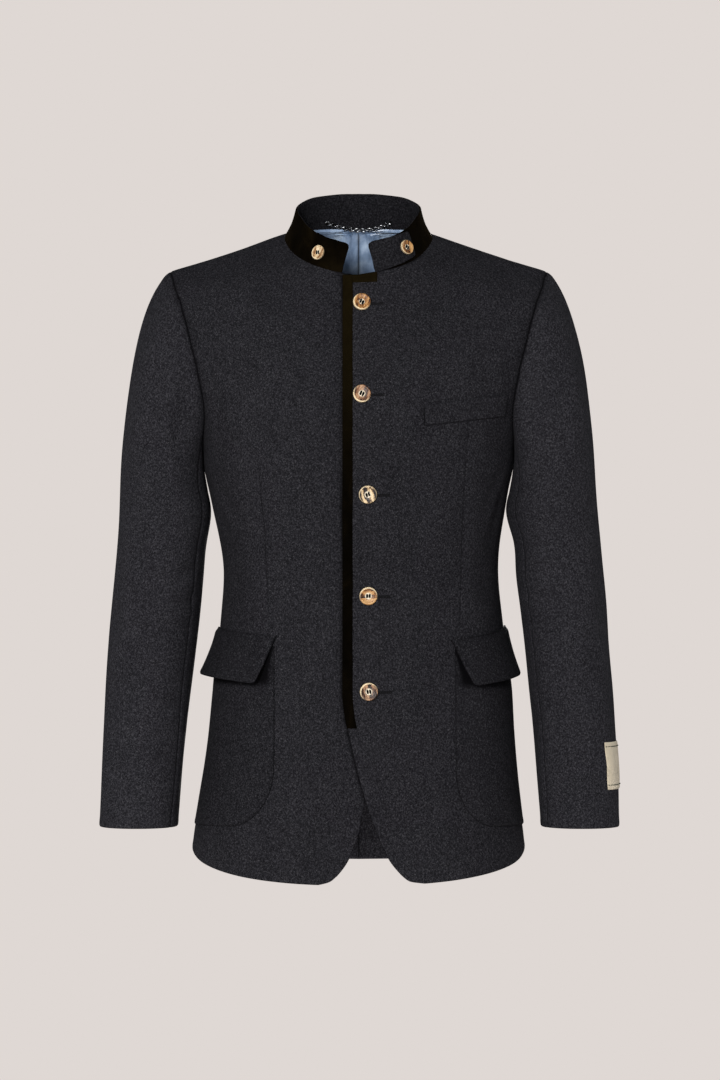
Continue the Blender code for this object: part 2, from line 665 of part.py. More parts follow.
# ------------------------------------------------------------------ what lies on the fronts
# Patch pockets and flaps, across the front from the centre line and up from the origin.
# inner is the edge toward the centre at the top; slant is how far it has moved out at the bottom.
POCKET_COLUMNS = "inner outer top low_in low_out round_x round_z"
POCKET = {"right": (97.5, 240.0, -474, -678, -684, 56, 66),
          "left": (113.0, 245.0, -477, -680, -684, 52, 62)}
FLAP_COLUMNS = "inner outer top_in top_out low_in low_out slant"
FLAP = {"right": (94.5, 236.0, -462, -454, -517, -509, 18),
        "left": (107.5, 240.0, -467, -452, -520, -510, 20)}
FLAP_STEP, FLAP_DROP = 2.5, 55.0
FLAP_FLARE = {"right": 14.5, "left": 9.0}
WELT = [(75.0, -223.5), (185.5, -211), (185.5, -185.5), (75.0, -199)]


def pocket_outline(side):
    p = dict(zip(POCKET_COLUMNS.split(), POCKET[side]))
    pts = [(p["inner"], p["top"]), (p["inner"], p["low_in"] + p["round_z"])]
    for k in range(1, 6):
        a = k * math.pi / 10
        pts.append((p["inner"] + p["round_x"] * (1 - math.cos(a)),
                    p["low_in"] + p["round_z"] * (1 - math.sin(a))))
    return pts + [(p["outer"], p["low_out"]), (p["outer"], p["top"])]


def flap_outline(side):
    f = dict(zip(FLAP_COLUMNS.split(), FLAP[side]))
    x1 = f["inner"] + f["slant"]
    return [(f["inner"], f["top_in"]), (x1 - 2.5, f["low_in"] + 7), (x1 + 1, f["low_in"] + 1.5),
            (x1 + 7, f["low_in"]), (f["outer"] - 8, f["low_out"]), (f["outer"], f["low_out"] + 6),
            (f["outer"], f["top_out"])]


def flap_rise(side):
    f = dict(zip(FLAP_COLUMNS.split(), FLAP[side]))

    def rise(a, z):
        top = np.interp(a, [f["inner"], f["outer"]], [f["top_in"], f["top_out"]])
        d = max(top - z, 0)
        return FLAP_STEP * float(smooth(d / 7)) + FLAP_FLARE[side] * (d / FLAP_DROP) ** 1.5
    return rise


for word in ("left", "right"):
    front = skins["front_" + word]
    patch("pocket_" + word, front, pocket_outline(word), PATCH)
    patch("flap_" + word, front, flap_outline(word), PATCH, rise=flap_rise(word))
patch("chest_welt", skins["front_left"], WELT, PATCH)


# ------------------------------------------------------------------ velvet edge trim
def trim_front():
    f = skins["front_left"]
    rows = [i for i in range(5, f["rows"]) if FRONT_CUT[i - 5] >= -567]
    pts, top, faces = [], [], []
    for i in rows:
        for j in (0, 1):
            k = f["index"][(i, j)]
            over = np.array([-0.5, 0, 0]) if j == 0 else np.zeros(3)
            pts.append(f["p"][k] + f["n"][k] * GAP + over)
            top.append(f["p"][k] + f["n"][k] * (GAP + TRIM) + over)
    for r in range(len(rows) - 1):
        faces.append((2 * r, 2 * r + 2, 2 * r + 3, 2 * r + 1))
    wall("trim_front", np.array(top), np.array(pts), faces)


trim_front()
patch("trim_neck", skins["front_left"],
      [(TRIM_WIDE - 16.3 + GAP, -57.5), (21.5, -56.5), (21.5, -40), (TRIM_WIDE - 16.3 + GAP, -40)], TRIM)

# ------------------------------------------------------------------ stand collar
# Rise and inward lean of the collar at parts of the way from centre front (0) to back (1).
COLLAR_COLUMNS = "part rise lean"
COLLAR = table(COLLAR_COLUMNS, [(0.0, 32.5, 7.0), (0.2, 36.0, 8.5), (0.4, 36.5, 12.0),
                                (0.52, 33.0, 13.5), (0.75, 38.5, 12.0), (1.0, 42.0, 10.5)])
COLLAR_LIFT = 0.5
COLLAR_ROWS = [0.0, 0.5, 1.0]


def neck_ring(side):
    """Neckline points of one side from the collar end in front to the centre back."""
    f, b = skins["front_" + ("left" if side > 0 else "right")], skins["back_" + ("left" if side > 0 else "right")]
    ext = f["extra"]
    ring = [f["p"][f["index"][(i, ext)]] for i in (4, 3, 2, 1, 0)]
    ring += [b["p"][b["index"][(i, 0)]] for i in (1, 2, 3, 4, 5)]
    return np.array(ring)


def neck_parts(ring):
    far = lengths(ring)
    total = far[-1] + 20.0
    return (far + 20.0) / total


right, left = neck_ring(-1), neck_ring(1)
base = np.concatenate([right, left[::-1][1:]])
base[9][0] = 0.0
part_of = np.concatenate([neck_parts(right), neck_parts(left)[::-1][1:]])
AXIS_Y = -2.0


def collar_frame(i):
    """Base point, the way up the collar and the way in, at a point of the ring."""
    p = base[i]
    inward = unit(np.array([-p[0], -(p[1] - AXIS_Y), 0.0]))
    rise = np.interp(part_of[i], COLLAR["part"], COLLAR["rise"])
    lean = np.interp(part_of[i], COLLAR["part"], COLLAR["lean"])
    up = np.array([0, 0, rise]) + inward * lean
    return p + np.array([0, 0, COLLAR_LIFT]), up, inward


def collar_point(i, h, depth):
    p, up, inward = collar_frame(i)
    bulge = 1.2 * math.sin(math.pi * h)
    m = unit(np.cross(np.cross(up, inward), up))
    q = p + up * h - m * bulge + m * depth
    end = {0: 1.0, len(base) - 1: -1.0}.get(i)
    if end:
        q = q + np.array([end * COLLAR_END_LEAN * h, 0, 0])
    return q


COLLAR_END_LEAN = 7.0
n_ring = len(base)


def collar_layer(name, near, far_side, low=0.0, rows=COLLAR_ROWS):
    pts, ins, faces = [], [], []
    for i in range(n_ring):
        for h in rows:
            hh = low + (1 - low) * h
            pts.append(collar_point(i, hh, near))
            ins.append(collar_point(i, hh, far_side))
    w = len(rows)
    for i in range(n_ring - 1):
        for r in range(w - 1):
            faces.append((i * w + r, (i + 1) * w + r, (i + 1) * w + r + 1, i * w + r + 1))
    wall(name, np.array(pts), np.array(ins), faces)


collar_layer("collar_outer", 0.0, COLLAR_WALL)
collar_layer("collar_inner", COLLAR_WALL + GAP, 2 * COLLAR_WALL + GAP)

# Tab folded back over the wearer's left end: places along the collar from that end.
TAB_COLUMNS = "along low high"
TAB = table(TAB_COLUMNS, [(-1.8, 0.10, 0.975), (10, 0.09, 1.0), (24, 0.08, 1.0),
                          (38, 0.08, 0.97), (54, 0.12, 0.90)])
TAB_OUT, TAB_THICK = 0.5, 2.2


def along_left(d, h, depth):
    """Point on the collar at a distance d from the wearer's left end."""
    line = np.array([collar_point(i, h, depth) for i in range(n_ring - 1, n_ring - 7, -1)])
    far = lengths(line)
    if d < 0:
        return line[0] + unit(line[0] - line[1]) * -d
    return np.array([np.interp(d, far, line[:, k]) for k in range(3)])


def tab():
    far = lengths(np.array([collar_point(i, 0.5, 0) for i in range(n_ring - 1, n_ring - 7, -1)]))
    stops = sorted(set([float(a) for a in TAB["along"]] + [float(f) for f in far if 0 < f < 50]))
    pts, ins, faces = [], [], []
    for d in stops:
        lo, hi = np.interp(d, TAB["along"], TAB["low"]), np.interp(d, TAB["along"], TAB["high"])
        for k in range(3):
            h = lo + (hi - lo) * k / 2
            pts.append(along_left(d, h, -TAB_OUT - TAB_THICK))
            ins.append(along_left(d, h, -TAB_OUT))
    for i in range(len(stops) - 1):
        for k in range(2):
            faces.append((i * 3 + k, (i + 1) * 3 + k, (i + 1) * 3 + k + 1, i * 3 + k + 1))
    wall("collar_tab", np.array(pts), np.array(ins), faces)


tab()

# ------------------------------------------------------------------ buttons
# Turned profile of a horn button: distance from its axis, and height over its back.
BUTTON = [(0.30, 0.0), (0.86, 0.0), (1.0, 1.2), (1.0, 2.4), (0.88, 3.2), (0.74, 2.9), (0.45, 2.3)]
FRONT_BUTTON, COLLAR_BUTTON, BUTTON_SIDES = 10.3, 8.6, 20
BUTTON_SPOTS = [("button_front_1", 3.8, -81.5), ("button_front_2", 4.0, -187.3),
                ("button_front_3", 10.6, -301.5), ("button_front_4", 11.2, -416.5),
                ("button_front_5", 11.8, -525)]


def button(name, spot, out, radius, thick=1.0):
    out = unit(out)
    side_way = unit(np.cross([0, 0, 1.0], out))
    up = np.cross(out, side_way)
    rings = [[spot + (side_way * math.cos(a) + up * math.sin(a)) * radius * r + out * (GAP + h * thick)
              for a in np.arange(BUTTON_SIDES) * 2 * math.pi / BUTTON_SIDES] for r, h in BUTTON]
    pts = [p for ring in rings for p in ring] + [spot + out * GAP, spot + out * (GAP + 2.3 * thick)]
    n, faces = BUTTON_SIDES, []
    for r in range(len(rings) - 1):
        for k in range(n):
            faces.append((r * n + k, r * n + (k + 1) % n, (r + 1) * n + (k + 1) % n, (r + 1) * n + k))
    last = (len(rings) - 1) * n
    for k in range(n):
        faces.append((len(pts) - 2, (k + 1) % n, k))
        faces.append((len(pts) - 1, last + k, last + (k + 1) % n))
    build(name, pts, faces)


def front_spot(x, z):
    v = body.v_at_height(z)
    s = x / body.length(v)
    return body.point(v, s), body.normal(v, s)


for name, x, z in BUTTON_SPOTS:
    p, m = front_spot(x, z)
    button(name, p, m, FRONT_BUTTON)


def collar_button(name, p, q, r):
    m = unit(np.cross(q - p, r - p))
    m = m if m[1] < 0 else -m
    return m


# wearer's right button, between the second and third points of the ring
i0 = 1
mid = collar_point(i0, 0.41, 0) * 0.64 + collar_point(i0 + 1, 0.41, 0) * 0.36
way = unit(np.cross(collar_point(i0 + 1, 0.41, 0) - collar_point(i0, 0.41, 0),
                    collar_point(i0, 0.8, 0) - collar_point(i0, 0.05, 0)))
way = way if way[1] < 0 else -way
button("button_collar_right", mid + way * 0.05, way, COLLAR_BUTTON, 0.85)
mid = along_left(42.4, 0.46, -TAB_OUT - TAB_THICK)
way = unit(np.cross(along_left(50, 0.5, 0) - along_left(34, 0.5, 0), along_left(42.4, 0.9, 0) - along_left(42.4, 0.1, 0)))
way = way if way[1] < 0 else -way
button("button_collar_left", mid + way * 0.05, way, COLLAR_BUTTON, 0.85)

# ------------------------------------------------------------------ satin back lining
LINING_ROWS = BACK_CUT.index(-290) + 6


def lining(word, side):
    b = skins["back_" + word]
    pts, ins, faces = [], [], []
    w = b["cols"] + 1
    for i in range(LINING_ROWS):
        row_p = np.array([b["inner"][b["index"][(i, j)]] for j in range(w)])
        row_n = np.array([unit(b["p"][b["index"][(i, j)]] - b["inner"][b["index"][(i, j)]]) for j in range(w)])
        row_p[-1] = row_p[-1] + (row_p[-2] - row_p[-1]) * 0.15
        if i < 6:
            row_p[0] = row_p[0] + (row_p[1] - row_p[0]) * 0.05
        for j in range(w):
            pts.append(row_p[j] - row_n[j] * GAP)
            ins.append(row_p[j] - row_n[j] * (GAP + LINING))
    for i in range(LINING_ROWS - 1):
        for j in range(w - 1):
            faces.append(((i + 1) * w + j, (i + 1) * w + j + 1, i * w + j + 1, i * w + j))
    wall("lining_" + word, np.array(pts), np.array(ins), faces)


lining("left", 1)
lining("right", -1)

# ------------------------------------------------------------------ hanger chain and label
CHAIN_R, CHAIN_HALF, CHAIN_SAG, CHAIN_Z = 2.0, 38.0, 6.0, 22.0


def chain():
    pts, n, sides = [], 12, 6
    inner = np.array([collar_point(i, 0.18, 2 * COLLAR_WALL + GAP) for i in range(4, n_ring - 4)])
    order = np.argsort(inner[:, 0])
    inner = inner[order]
    line = []
    for k in range(n + 1):
        x = -CHAIN_HALF + 2 * CHAIN_HALF * k / n
        y = np.interp(x, inner[:, 0], inner[:, 1]) - CHAIN_R - 0.45
        line.append((x, y, CHAIN_Z - CHAIN_SAG * (1 - (x / CHAIN_HALF) ** 2)))
    line = np.array(line)
    faces = []
    for k in range(n + 1):
        t = unit(line[min(k + 1, n)] - line[max(k - 1, 0)])
        a = unit(np.cross(t, [0, 0, 1.0]))
        b = np.cross(a, t)
        for q in range(sides):
            w = q * 2 * math.pi / sides
            pts.append(line[k] + (a * math.cos(w) + b * math.sin(w)) * CHAIN_R)
    for k in range(n):
        for q in range(sides):
            faces.append((k * sides + q, k * sides + (q + 1) % sides,
                          (k + 1) * sides + (q + 1) % sides, (k + 1) * sides + q))
    faces.append(tuple(reversed(range(sides))))
    faces.append(tuple(n * sides + q for q in range(sides)))
    build("hanger_chain", pts, faces)


chain()
LABEL = [(-27, -641), (45, -640), (44, -586), (-24, -587)]
patch("sleeve_label", arms["left"]["upper"], LABEL, 1.0)
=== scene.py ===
# Looks of the tyrolean loden jacket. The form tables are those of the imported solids, in
# millimetres, sampled finer here, with creases, seams, sewing and materials added.
import bpy
import math
import numpy as np
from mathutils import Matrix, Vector


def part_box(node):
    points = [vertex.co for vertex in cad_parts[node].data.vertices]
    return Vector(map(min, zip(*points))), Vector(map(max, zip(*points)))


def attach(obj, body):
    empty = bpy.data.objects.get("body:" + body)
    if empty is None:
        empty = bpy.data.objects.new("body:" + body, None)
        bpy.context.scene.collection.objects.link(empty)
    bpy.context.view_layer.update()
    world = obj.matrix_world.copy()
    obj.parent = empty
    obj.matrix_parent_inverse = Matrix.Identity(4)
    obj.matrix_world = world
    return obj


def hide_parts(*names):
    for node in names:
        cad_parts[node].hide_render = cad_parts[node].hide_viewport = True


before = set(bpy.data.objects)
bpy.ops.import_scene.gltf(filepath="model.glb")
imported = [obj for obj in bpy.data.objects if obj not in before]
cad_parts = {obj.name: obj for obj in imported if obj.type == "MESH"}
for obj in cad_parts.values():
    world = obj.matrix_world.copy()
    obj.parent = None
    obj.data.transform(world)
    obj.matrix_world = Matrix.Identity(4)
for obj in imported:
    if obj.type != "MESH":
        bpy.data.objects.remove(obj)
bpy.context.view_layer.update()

MM = 0.001
# In millimetres: how thick each cloth is, and the air between two that lie together.
CLOTH, PATCH, TRIM, COLLAR_WALL = 2.0, 1.8, 1.2, 1.5
GAP = 0.3
SAMPLES = 161           # points along each row of the body

# ------------------------------------------------------------------ section tables
# Each row of the body runs from the centre line out to the armhole or the side seam.
#  z_in, y_in          height and depth on the centre line
#  x_out, y_out, z_out armhole or side seam point
#  full                1 is a straight row, 2 an ellipse, more is squarer
#  bow                 how late along the row the height change comes
#  turn                part of the quarter turn that is done at x_out
COLUMNS = "z_in y_in x_out y_out z_out full bow turn"
FRONT_HEM_UP = [
    (-744.5, -129.5, 194.0, 2, -708, 2.3, 2.45, 1.0),
    (-711, -130.0, 191.3, 2, -685, 2.3, 2.5, 1.0),
    (-675, -130.0, 187.3, 3, -664, 2.3, 2.5, 1.0),
    (-634, -129.5, 182.6, 4, -629, 2.3, 2.4, 1.0),
    (-581, -128.0, 177.0, 5, -579, 2.3, 2.2, 1.0),
    (-528, -126.3, 172.8, 6, -527, 2.3, 2.0, 1.0),
    (-475, -124.0, 167.8, 6, -475, 2.3, 2.0, 1.0),
    (-430, -123.0, 163.3, 6, -430, 2.3, 2.0, 1.0),
    (-388, -123.6, 160.6, 6, -388, 2.3, 2.0, 1.0),
    (-353, -125.2, 164.0, 7, -353, 2.3, 2.0, 1.0),
    (-319, -127.2, 170.5, 8, -319, 2.3, 2.0, 1.0),
    (-290, -128.6, 176.3, 8, -290, 2.3, 2.0, 1.0),
]
FRONT_ARMHOLE_UP = [
    (-256, -129.0, 182.5, 8, -256, 2.3, 2.0, 1.0),
    (-249, -129.0, 181.6, -14, -250, 2.3, 2.0, 0.922),
    (-239, -128.5, 180.3, -32, -240, 2.3, 2.0, 0.843),
    (-210, -126.5, 178.0, -50, -213, 2.3, 2.0, 0.750),
    (-175, -121.0, 181.3, -58, -182, 2.3, 1.9, 0.691),
    (-140, -111.0, 187.7, -59, -150, 2.3, 1.8, 0.655),
    (-105, -97.0, 195.0, -54, -122, 2.3, 1.7, 0.633),
    (-75, -82.5, 201.0, -46, -98, 2.3, 1.5, 0.624),
    (-48, -68.5, 206.5, -38, -78, 2.3, 1.4, 0.624),
]
FRONT_NECK_UP = [
    (-40, -64.0, 210.5, -31, -69, 2.1, 1.3, 0.645),
    (-25, -55.0, 214.5, -22, -58, 1.8, 1.1, 0.657),
    (-4, -37.0, 217.3, -9, -47, 1.5, 1.0, 0.680),
]
SHOULDER = [(30, 1.4, 219.0, 7, -38, 1.0, 1.0, 0.700)]
BACK_NECK_DOWN = [
    (31, 24, 218.3, 18, -44, 1.2, 1.2, 0.710),
    (28, 43, 217.0, 30, -52, 1.5, 1.3, 0.720),
    (22, 54, 215.0, 39, -61, 1.8, 1.35, 0.730),
]
BACK_ARMHOLE_DOWN = [
    (14, 61.0, 212.5, 46, -71, 2.1, 1.4, 0.740),
    (-12, 79.0, 207.0, 57, -96, 2.3, 1.5, 0.740),
    (-48, 101.0, 201.5, 65, -128, 2.3, 1.6, 0.725),
    (-90, 119.5, 196.0, 68, -160, 2.3, 1.7, 0.720),
    (-140, 132.5, 191.0, 66, -190, 2.3, 1.8, 0.740),
    (-190, 138.0, 186.5, 56, -220, 2.3, 1.9, 0.795),
    (-231, 137.5, 183.6, 38, -243, 2.3, 2.0, 0.870),
    (-246, 136.5, 182.8, 22, -251.5, 2.3, 2.0, 0.935),
    (-256, 135.3, 182.5, 8, -256, 2.3, 2.0, 1.0),
]
BACK_HEM_DOWN = [
    (-290, 130.0, 176.3, 8, -290, 2.3, 2.0, 1.0),
    (-319, 124.0, 170.5, 8, -319, 2.3, 2.0, 1.0),
    (-353, 117.0, 164.0, 7, -353, 2.3, 2.0, 1.0),
    (-388, 111.5, 160.6, 6, -388, 2.3, 2.0, 1.0),
    (-430, 109.5, 163.3, 6, -430, 2.3, 2.0, 1.0),
    (-475, 112.5, 167.8, 6, -475, 2.3, 2.0, 1.0),
    (-528, 118.5, 172.8, 6, -527, 2.3, 2.0, 1.0),
    (-581, 123.5, 177.0, 5, -579, 2.3, 2.2, 1.0),
    (-634, 126.5, 182.6, 4, -629, 2.3, 2.2, 1.0),
    (-675, 127.5, 187.3, 3, -664, 2.3, 2.2, 1.0),
    (-709, 128.0, 191.3, 2, -685, 2.3, 2.2, 1.0),
    (-738, 128.0, 194.0, 2, -708, 2.3, 2.2, 1.0),
]
# How far the sides lean to the wearer's left at each height; the middle of the fronts stays.
SWAY = [(-744.5, 0.0), (-675, 0.4), (-634, 1.4), (-581, 2.9), (-528, 4.2), (-475, 4.0),
        (-430, 3.4), (-388, 2.9), (-353, 1.7), (-319, 0.7), (-290, 0.0)]
SWAY_FROM, SWAY_OVER = 90.0, 80.0
# Half-width of the neckline on each control row from centre front to centre back.
NECK_HALF = [0, 30, 58, 76, 86, 78, 60, 35, 0]

# Front edges, across the body from the centre line: minus is past it, under the lap.
EDGE_COLUMNS = "z left right"
EDGES = [
    (-744.5, 75.0, 45.0), (-741, 58.4, 33.0), (-731.5, 47.0, 22.0), (-715.5, 34.6, 11.0),
    (-697, 25.5, 3.6), (-681, 19.0, -1.5), (-668, 14.0, -4.0), (-651, 8.5, -7.0),
    (-625, 1.0, -15.0), (-602, -4.5, -22.5), (-565, -12.8, -28.5), (-545, -16.4, -29.0),
    (-530, -17.6, -29.0), (-300, -17.6, -26.0), (-48, -17.6, -22.0),
]
TRIM_WIDE = 11.0
LAP = 2.45             # how far the under front sits back beneath the lap
LAP_FULL, LAP_FADE = 20.0, 32.0

# Sleeves: inner and outer line, and the depth, down from the biceps. _r is the wearer's right.
SLEEVE_COLUMNS = "z in_r out_r in_l out_l y_mid deep"
SLEEVE = [
    (-290, 177.7, 278.5, 178.2, 277.8, 3, 148),
    (-319, 171.6, 280.3, 172.6, 279.6, 4, 142),
    (-353, 176.4, 282.5, 181.6, 282.5, 4, 135),
    (-388, 180.8, 284.9, 184.5, 285.8, 4, 129),
    (-423, 184.3, 287.2, 188.6, 288.8, 2, 124),
    (-475, 190.0, 291.5, 194.0, 292.6, -3, 116),
    (-528, 195.6, 295.0, 199.3, 296.8, -10, 110),
    (-581, 200.6, 297.2, 204.6, 299.6, -18, 104),
    (-634, 205.2, 299.0, 208.6, 301.4, -27, 99),
    (-684, 209.0, 300.4, 211.2, 302.0, -36, 95),
]
SLEEVE_FULL = 2.15
BICEPS_Z, CUFF_Z = -290, -684
# How the cloth leaves the armhole at four places: the direction (out, fore, down), how long it
# holds that direction, and how long it comes straight up from the biceps.
HEAD = {"top": (0.76, 0.0, -0.65, 45, 118), "front": (0.62, -0.34, -0.70, 42, 72),
        "under": (0.02, 0.0, -1.0, 10, 13), "back": (0.62, 0.34, -0.70, 42, 72)}
SEAM_FORE, SEAM_AFT = 146.43, 240.66    # degrees round the sleeve from its outer line


# ------------------------------------------------------------------ small helpers
def table(names, rows):
    return {n: np.array([r[i] for r in rows], float) for i, n in enumerate(names.split())}


def smooth(x):
    x = np.clip(x, 0.0, 1.0)
    return x * x * (3 - 2 * x)


def unit(v):
    v = np.asarray(v, float)
    return v / np.maximum(np.linalg.norm(v, axis=-1, keepdims=True), 1e-12)


def lengths(p):
    step = np.linalg.norm(np.diff(p, axis=0), axis=1)
    return np.concatenate([[0.0], np.cumsum(step)])


def line_at(line, far, q):
    """The point of a line at q, where far measures along it."""
    return np.stack([np.interp(q, far, line[:, k]) for k in range(3)], axis=-1)


def bell(x, wide):
    return np.exp(-(x / wide) ** 2)


class Spline:
    """Natural cubic through values of any shape."""

    def __init__(self, t, y):
        t, y = np.asarray(t, float), np.asarray(y, float)
        n, h = len(t), np.diff(t)
        a = np.zeros((n, n))
        b = np.zeros((n,) + y.shape[1:])
        a[0, 0] = a[-1, -1] = 1
        d = np.diff(y, axis=0) / h.reshape((-1,) + (1,) * (y.ndim - 1))
        for i in range(1, n - 1):
            a[i, i - 1], a[i, i], a[i, i + 1] = h[i - 1], 2 * (h[i - 1] + h[i]), h[i]
            b[i] = 6 * (d[i] - d[i - 1])
        self.t, self.y = t, y
        self.m = np.linalg.solve(a, b.reshape(n, -1)).reshape(b.shape)

    def __call__(self, q):
        t, y, m = self.t, self.y, self.m
        i = int(np.clip(np.searchsorted(t, q) - 1, 0, len(t) - 2))
        h = t[i + 1] - t[i]
        a, b = (t[i + 1] - q) / h, (q - t[i]) / h
        return a * y[i] + b * y[i + 1] + ((a ** 3 - a) * m[i] + (b ** 3 - b) * m[i + 1]) * h * h / 6


def piecewise(t, y, q):
    """Monotone cubic, so that an edge never overshoots its table."""
    t, y = np.asarray(t, float), np.asarray(y, float)
    d = np.diff(y) / np.diff(t)
    s = np.zeros(len(t))
    s[0], s[-1] = d[0], d[-1]
    for i in range(1, len(t) - 1):
        if d[i - 1] * d[i] > 0:
            s[i] = 2 * d[i - 1] * d[i] / (d[i - 1] + d[i])
    i = int(np.clip(np.searchsorted(t, q) - 1, 0, len(t) - 2))
    h = t[i + 1] - t[i]
    x = np.clip((q - t[i]) / h, 0, 1)
    return ((1 + 2 * x) * (1 - x) ** 2 * y[i] + x * (1 - x) ** 2 * h * s[i]
            + x * x * (3 - 2 * x) * y[i + 1] + x * x * (x - 1) * h * s[i + 1])


# ------------------------------------------------------------------ the body surface
class Body:
    """One smooth sheet from the front hem over the shoulder to the back hem (left half)."""

    def __init__(self):
        rows = (FRONT_HEM_UP + FRONT_ARMHOLE_UP + FRONT_NECK_UP + SHOULDER
                + BACK_NECK_DOWN + BACK_ARMHOLE_DOWN + BACK_HEM_DOWN)
        t = table(COLUMNS, rows)
        self.kept = {}
        curves, arms = [], []
        for k in range(len(rows)):
            curve, arm = self.control({n: t[n][k] for n in t})
            curves.append(curve)
            arms.append(arm)
        curves = np.array(curves)
        mid = curves[:, 10:110:10, :]
        step = np.linalg.norm(np.diff(mid, axis=0), axis=2).mean(axis=1)
        self.knots = np.concatenate([[0.0], np.cumsum(step)])
        self.sheet = Spline(self.knots, curves)
        a, b, c = len(FRONT_HEM_UP), len(FRONT_ARMHOLE_UP), len(FRONT_NECK_UP)
        self.v_under_front = self.knots[a]
        self.v_neck_front = self.knots[a + b - 1]
        self.v_shoulder = self.knots[a + b + c]
        first = a + b + c + 1 + len(BACK_NECK_DOWN)
        self.v_neck_back = self.knots[first]
        self.v_under_back = self.knots[first + len(BACK_ARMHOLE_DOWN) - 1]
        self.v_end = self.knots[-1]
        self.arms = np.array(arms)
        self.i_front, self.i_back = a, first + len(BACK_ARMHOLE_DOWN) - 1
        self.i_neck = (a + b - 1, first)
        self.neck_half = Spline(self.knots[a + b - 1:first + 1], np.array(NECK_HALF, float))

    @staticmethod
    def control(r):
        """One row of the tables as SAMPLES even points, and the part of it at which it is cut."""
        n, c = r["full"], r["turn"] * math.pi / 2
        th = np.linspace(0, math.pi / 2, 1201)

        def s_of(q):
            return np.sin(q) ** (2 / n)

        def c_of(q):
            return np.clip(np.cos(q), 0, 1) ** (2 / n)
        x = r["x_out"] * s_of(th) / s_of(c)
        y = r["y_in"] + (r["y_out"] - r["y_in"]) * (1 - c_of(th)) / (1 - c_of(c))
        flat = lengths(np.column_stack([x, y]))
        out = np.interp(c, th, flat)
        z = r["z_in"] + (r["z_out"] - r["z_in"]) * (flat / out) ** r["bow"]
        p = np.column_stack([x, y, z])
        far = lengths(p)
        q = np.linspace(0, far[-1], SAMPLES)
        return line_at(p, far, q), np.interp(c, th, far) / far[-1]

    def row(self, v):
        k = round(float(v), 4)
        if k not in self.kept:
            self.kept[k] = self.sheet(v)
        return self.kept[k]

    def point(self, v, s):
        row = self.row(v)
        f = abs(s) * (SAMPLES - 1)
        i = int(min(f, SAMPLES - 2))
        p = row[i] + (row[i + 1] - row[i]) * (f - i)
        return p * np.array([-1, 1, 1]) if s < 0 else p

    def length(self, v):
        return lengths(self.row(v))[-1]

    def arm(self, v):
        """Part of the row at which the armhole or side seam cuts it."""
        if self.v_under_front >= v or v >= self.v_under_back:
            return 1.0
        k, a = self.knots, self.arms
        return float(piecewise(k[self.i_front:self.i_back + 1],
                               a[self.i_front:self.i_back + 1], v))

    def neck(self, v):
        """Part of the row at which the neckline cuts it."""
        i, j = self.i_neck
        if v <= self.knots[i] or v >= self.knots[j]:
            return 0.0
        x = self.neck_half(v)
        row = self.row(v)
        return float(np.interp(max(x, 0), row[:, 0], np.linspace(0, 1, SAMPLES)))

    def v_at_height(self, z, back=False):
        lo, hi = (self.v_neck_back, self.v_end) if back else (0.0, self.v_neck_front)
        q = np.linspace(lo, hi, 600)
        h = np.array([self.row(v)[0, 2] for v in q])
        order = np.argsort(h)
        return float(np.interp(z, h[order], q[order]))

    def v_at_neck(self, x):
        q = np.linspace(self.v_neck_front, self.v_shoulder, 200)
        h = np.array([self.neck_half(v) for v in q])
        order = np.argsort(h)
        return float(np.interp(x, h[order], q[order]))

    def normal(self, v, s):
        dv, ds = 1.5, 0.006
        s = float(np.clip(s, -0.4, 1.0))
        s0, s1 = s - ds, min(s + ds, 1.0)
        v0, v1 = max(v - dv, 0), min(v + dv, self.v_end)
        n = np.cross(self.point(v1, s) - self.point(v0, s), self.point(v, s1) - self.point(v, s0))
        n = unit(n)
        mid = np.array([0.0, 5.0, self.point(v, s)[2] - 60.0])
        return n if np.dot(n, self.point(v, s) - mid) > 0 else -n


def swayed(name, points):
    """The torso's sides moved by the lean. Sleeves and their label hang straight."""
    points = np.array(points, float)
    if name.startswith(("sleeve", "label")):
        return points
    lean = np.array(SWAY)
    by = np.interp(points[:, 2], lean[:, 0], lean[:, 1])
    points[:, 0] += by * smooth((np.abs(points[:, 0]) - SWAY_FROM) / SWAY_OVER)
    return points


body = Body()
edges = table(EDGE_COLUMNS, EDGES)


# ------------------------------------------------------------------ armholes
def arm_spot(v):
    """Armhole point, and the ways that body and sleeve turn their insides there."""
    s = body.arm(v)
    e = body.point(v, s)
    dv = 3.0
    lo, hi = body.v_under_front, body.v_under_back
    a, b = max(v - dv, lo + 1e-3), min(v + dv, hi - 1e-3)
    tau = unit(body.point(a, body.arm(a)) - body.point(b, body.arm(b)))
    n_t = body.normal(v, s)
    away = head_way(turn_of(v))["dir"]
    t_s = unit(away - tau * np.dot(away, tau))
    n_s = unit(np.cross(tau, t_s))
    w = float(np.clip(-float(np.dot(n_t, t_s)) / 0.12, 0, 1))
    m_t = unit(n_t + w * n_s)
    m_s = unit(n_s + w * n_t)
    return e, m_t / max(np.dot(m_t, n_t), 0.75), m_s / max(np.dot(m_s, n_s), 0.75)


def arm_track(start, end):
    """Rows between two, with their distances along the armhole."""
    v = np.linspace(start, end, 160)
    return v, lengths(np.array([body.point(q, body.arm(q)) for q in v]))


ARM_FORE = arm_track(body.v_shoulder, body.v_under_front + 1e-3)
ARM_AFT = arm_track(body.v_under_back - 1e-3, body.v_shoulder)


def turn_of(v):
    """Degrees round the sleeve, 0 at the shoulder, 90 at the front, 180 under the arm."""
    fore = v <= body.v_shoulder
    vs, far = ARM_FORE if fore else ARM_AFT
    i = np.argsort(vs)
    return (0 if fore else 180) + 180 * float(np.interp(v, vs[i], far[i])) / far[-1]


def v_of_turn(deg):
    deg = deg % 360
    vs, far = ARM_FORE if deg <= 180 else ARM_AFT
    return float(np.interp((deg if deg <= 180 else deg - 180) / 180 * far[-1], far, vs))


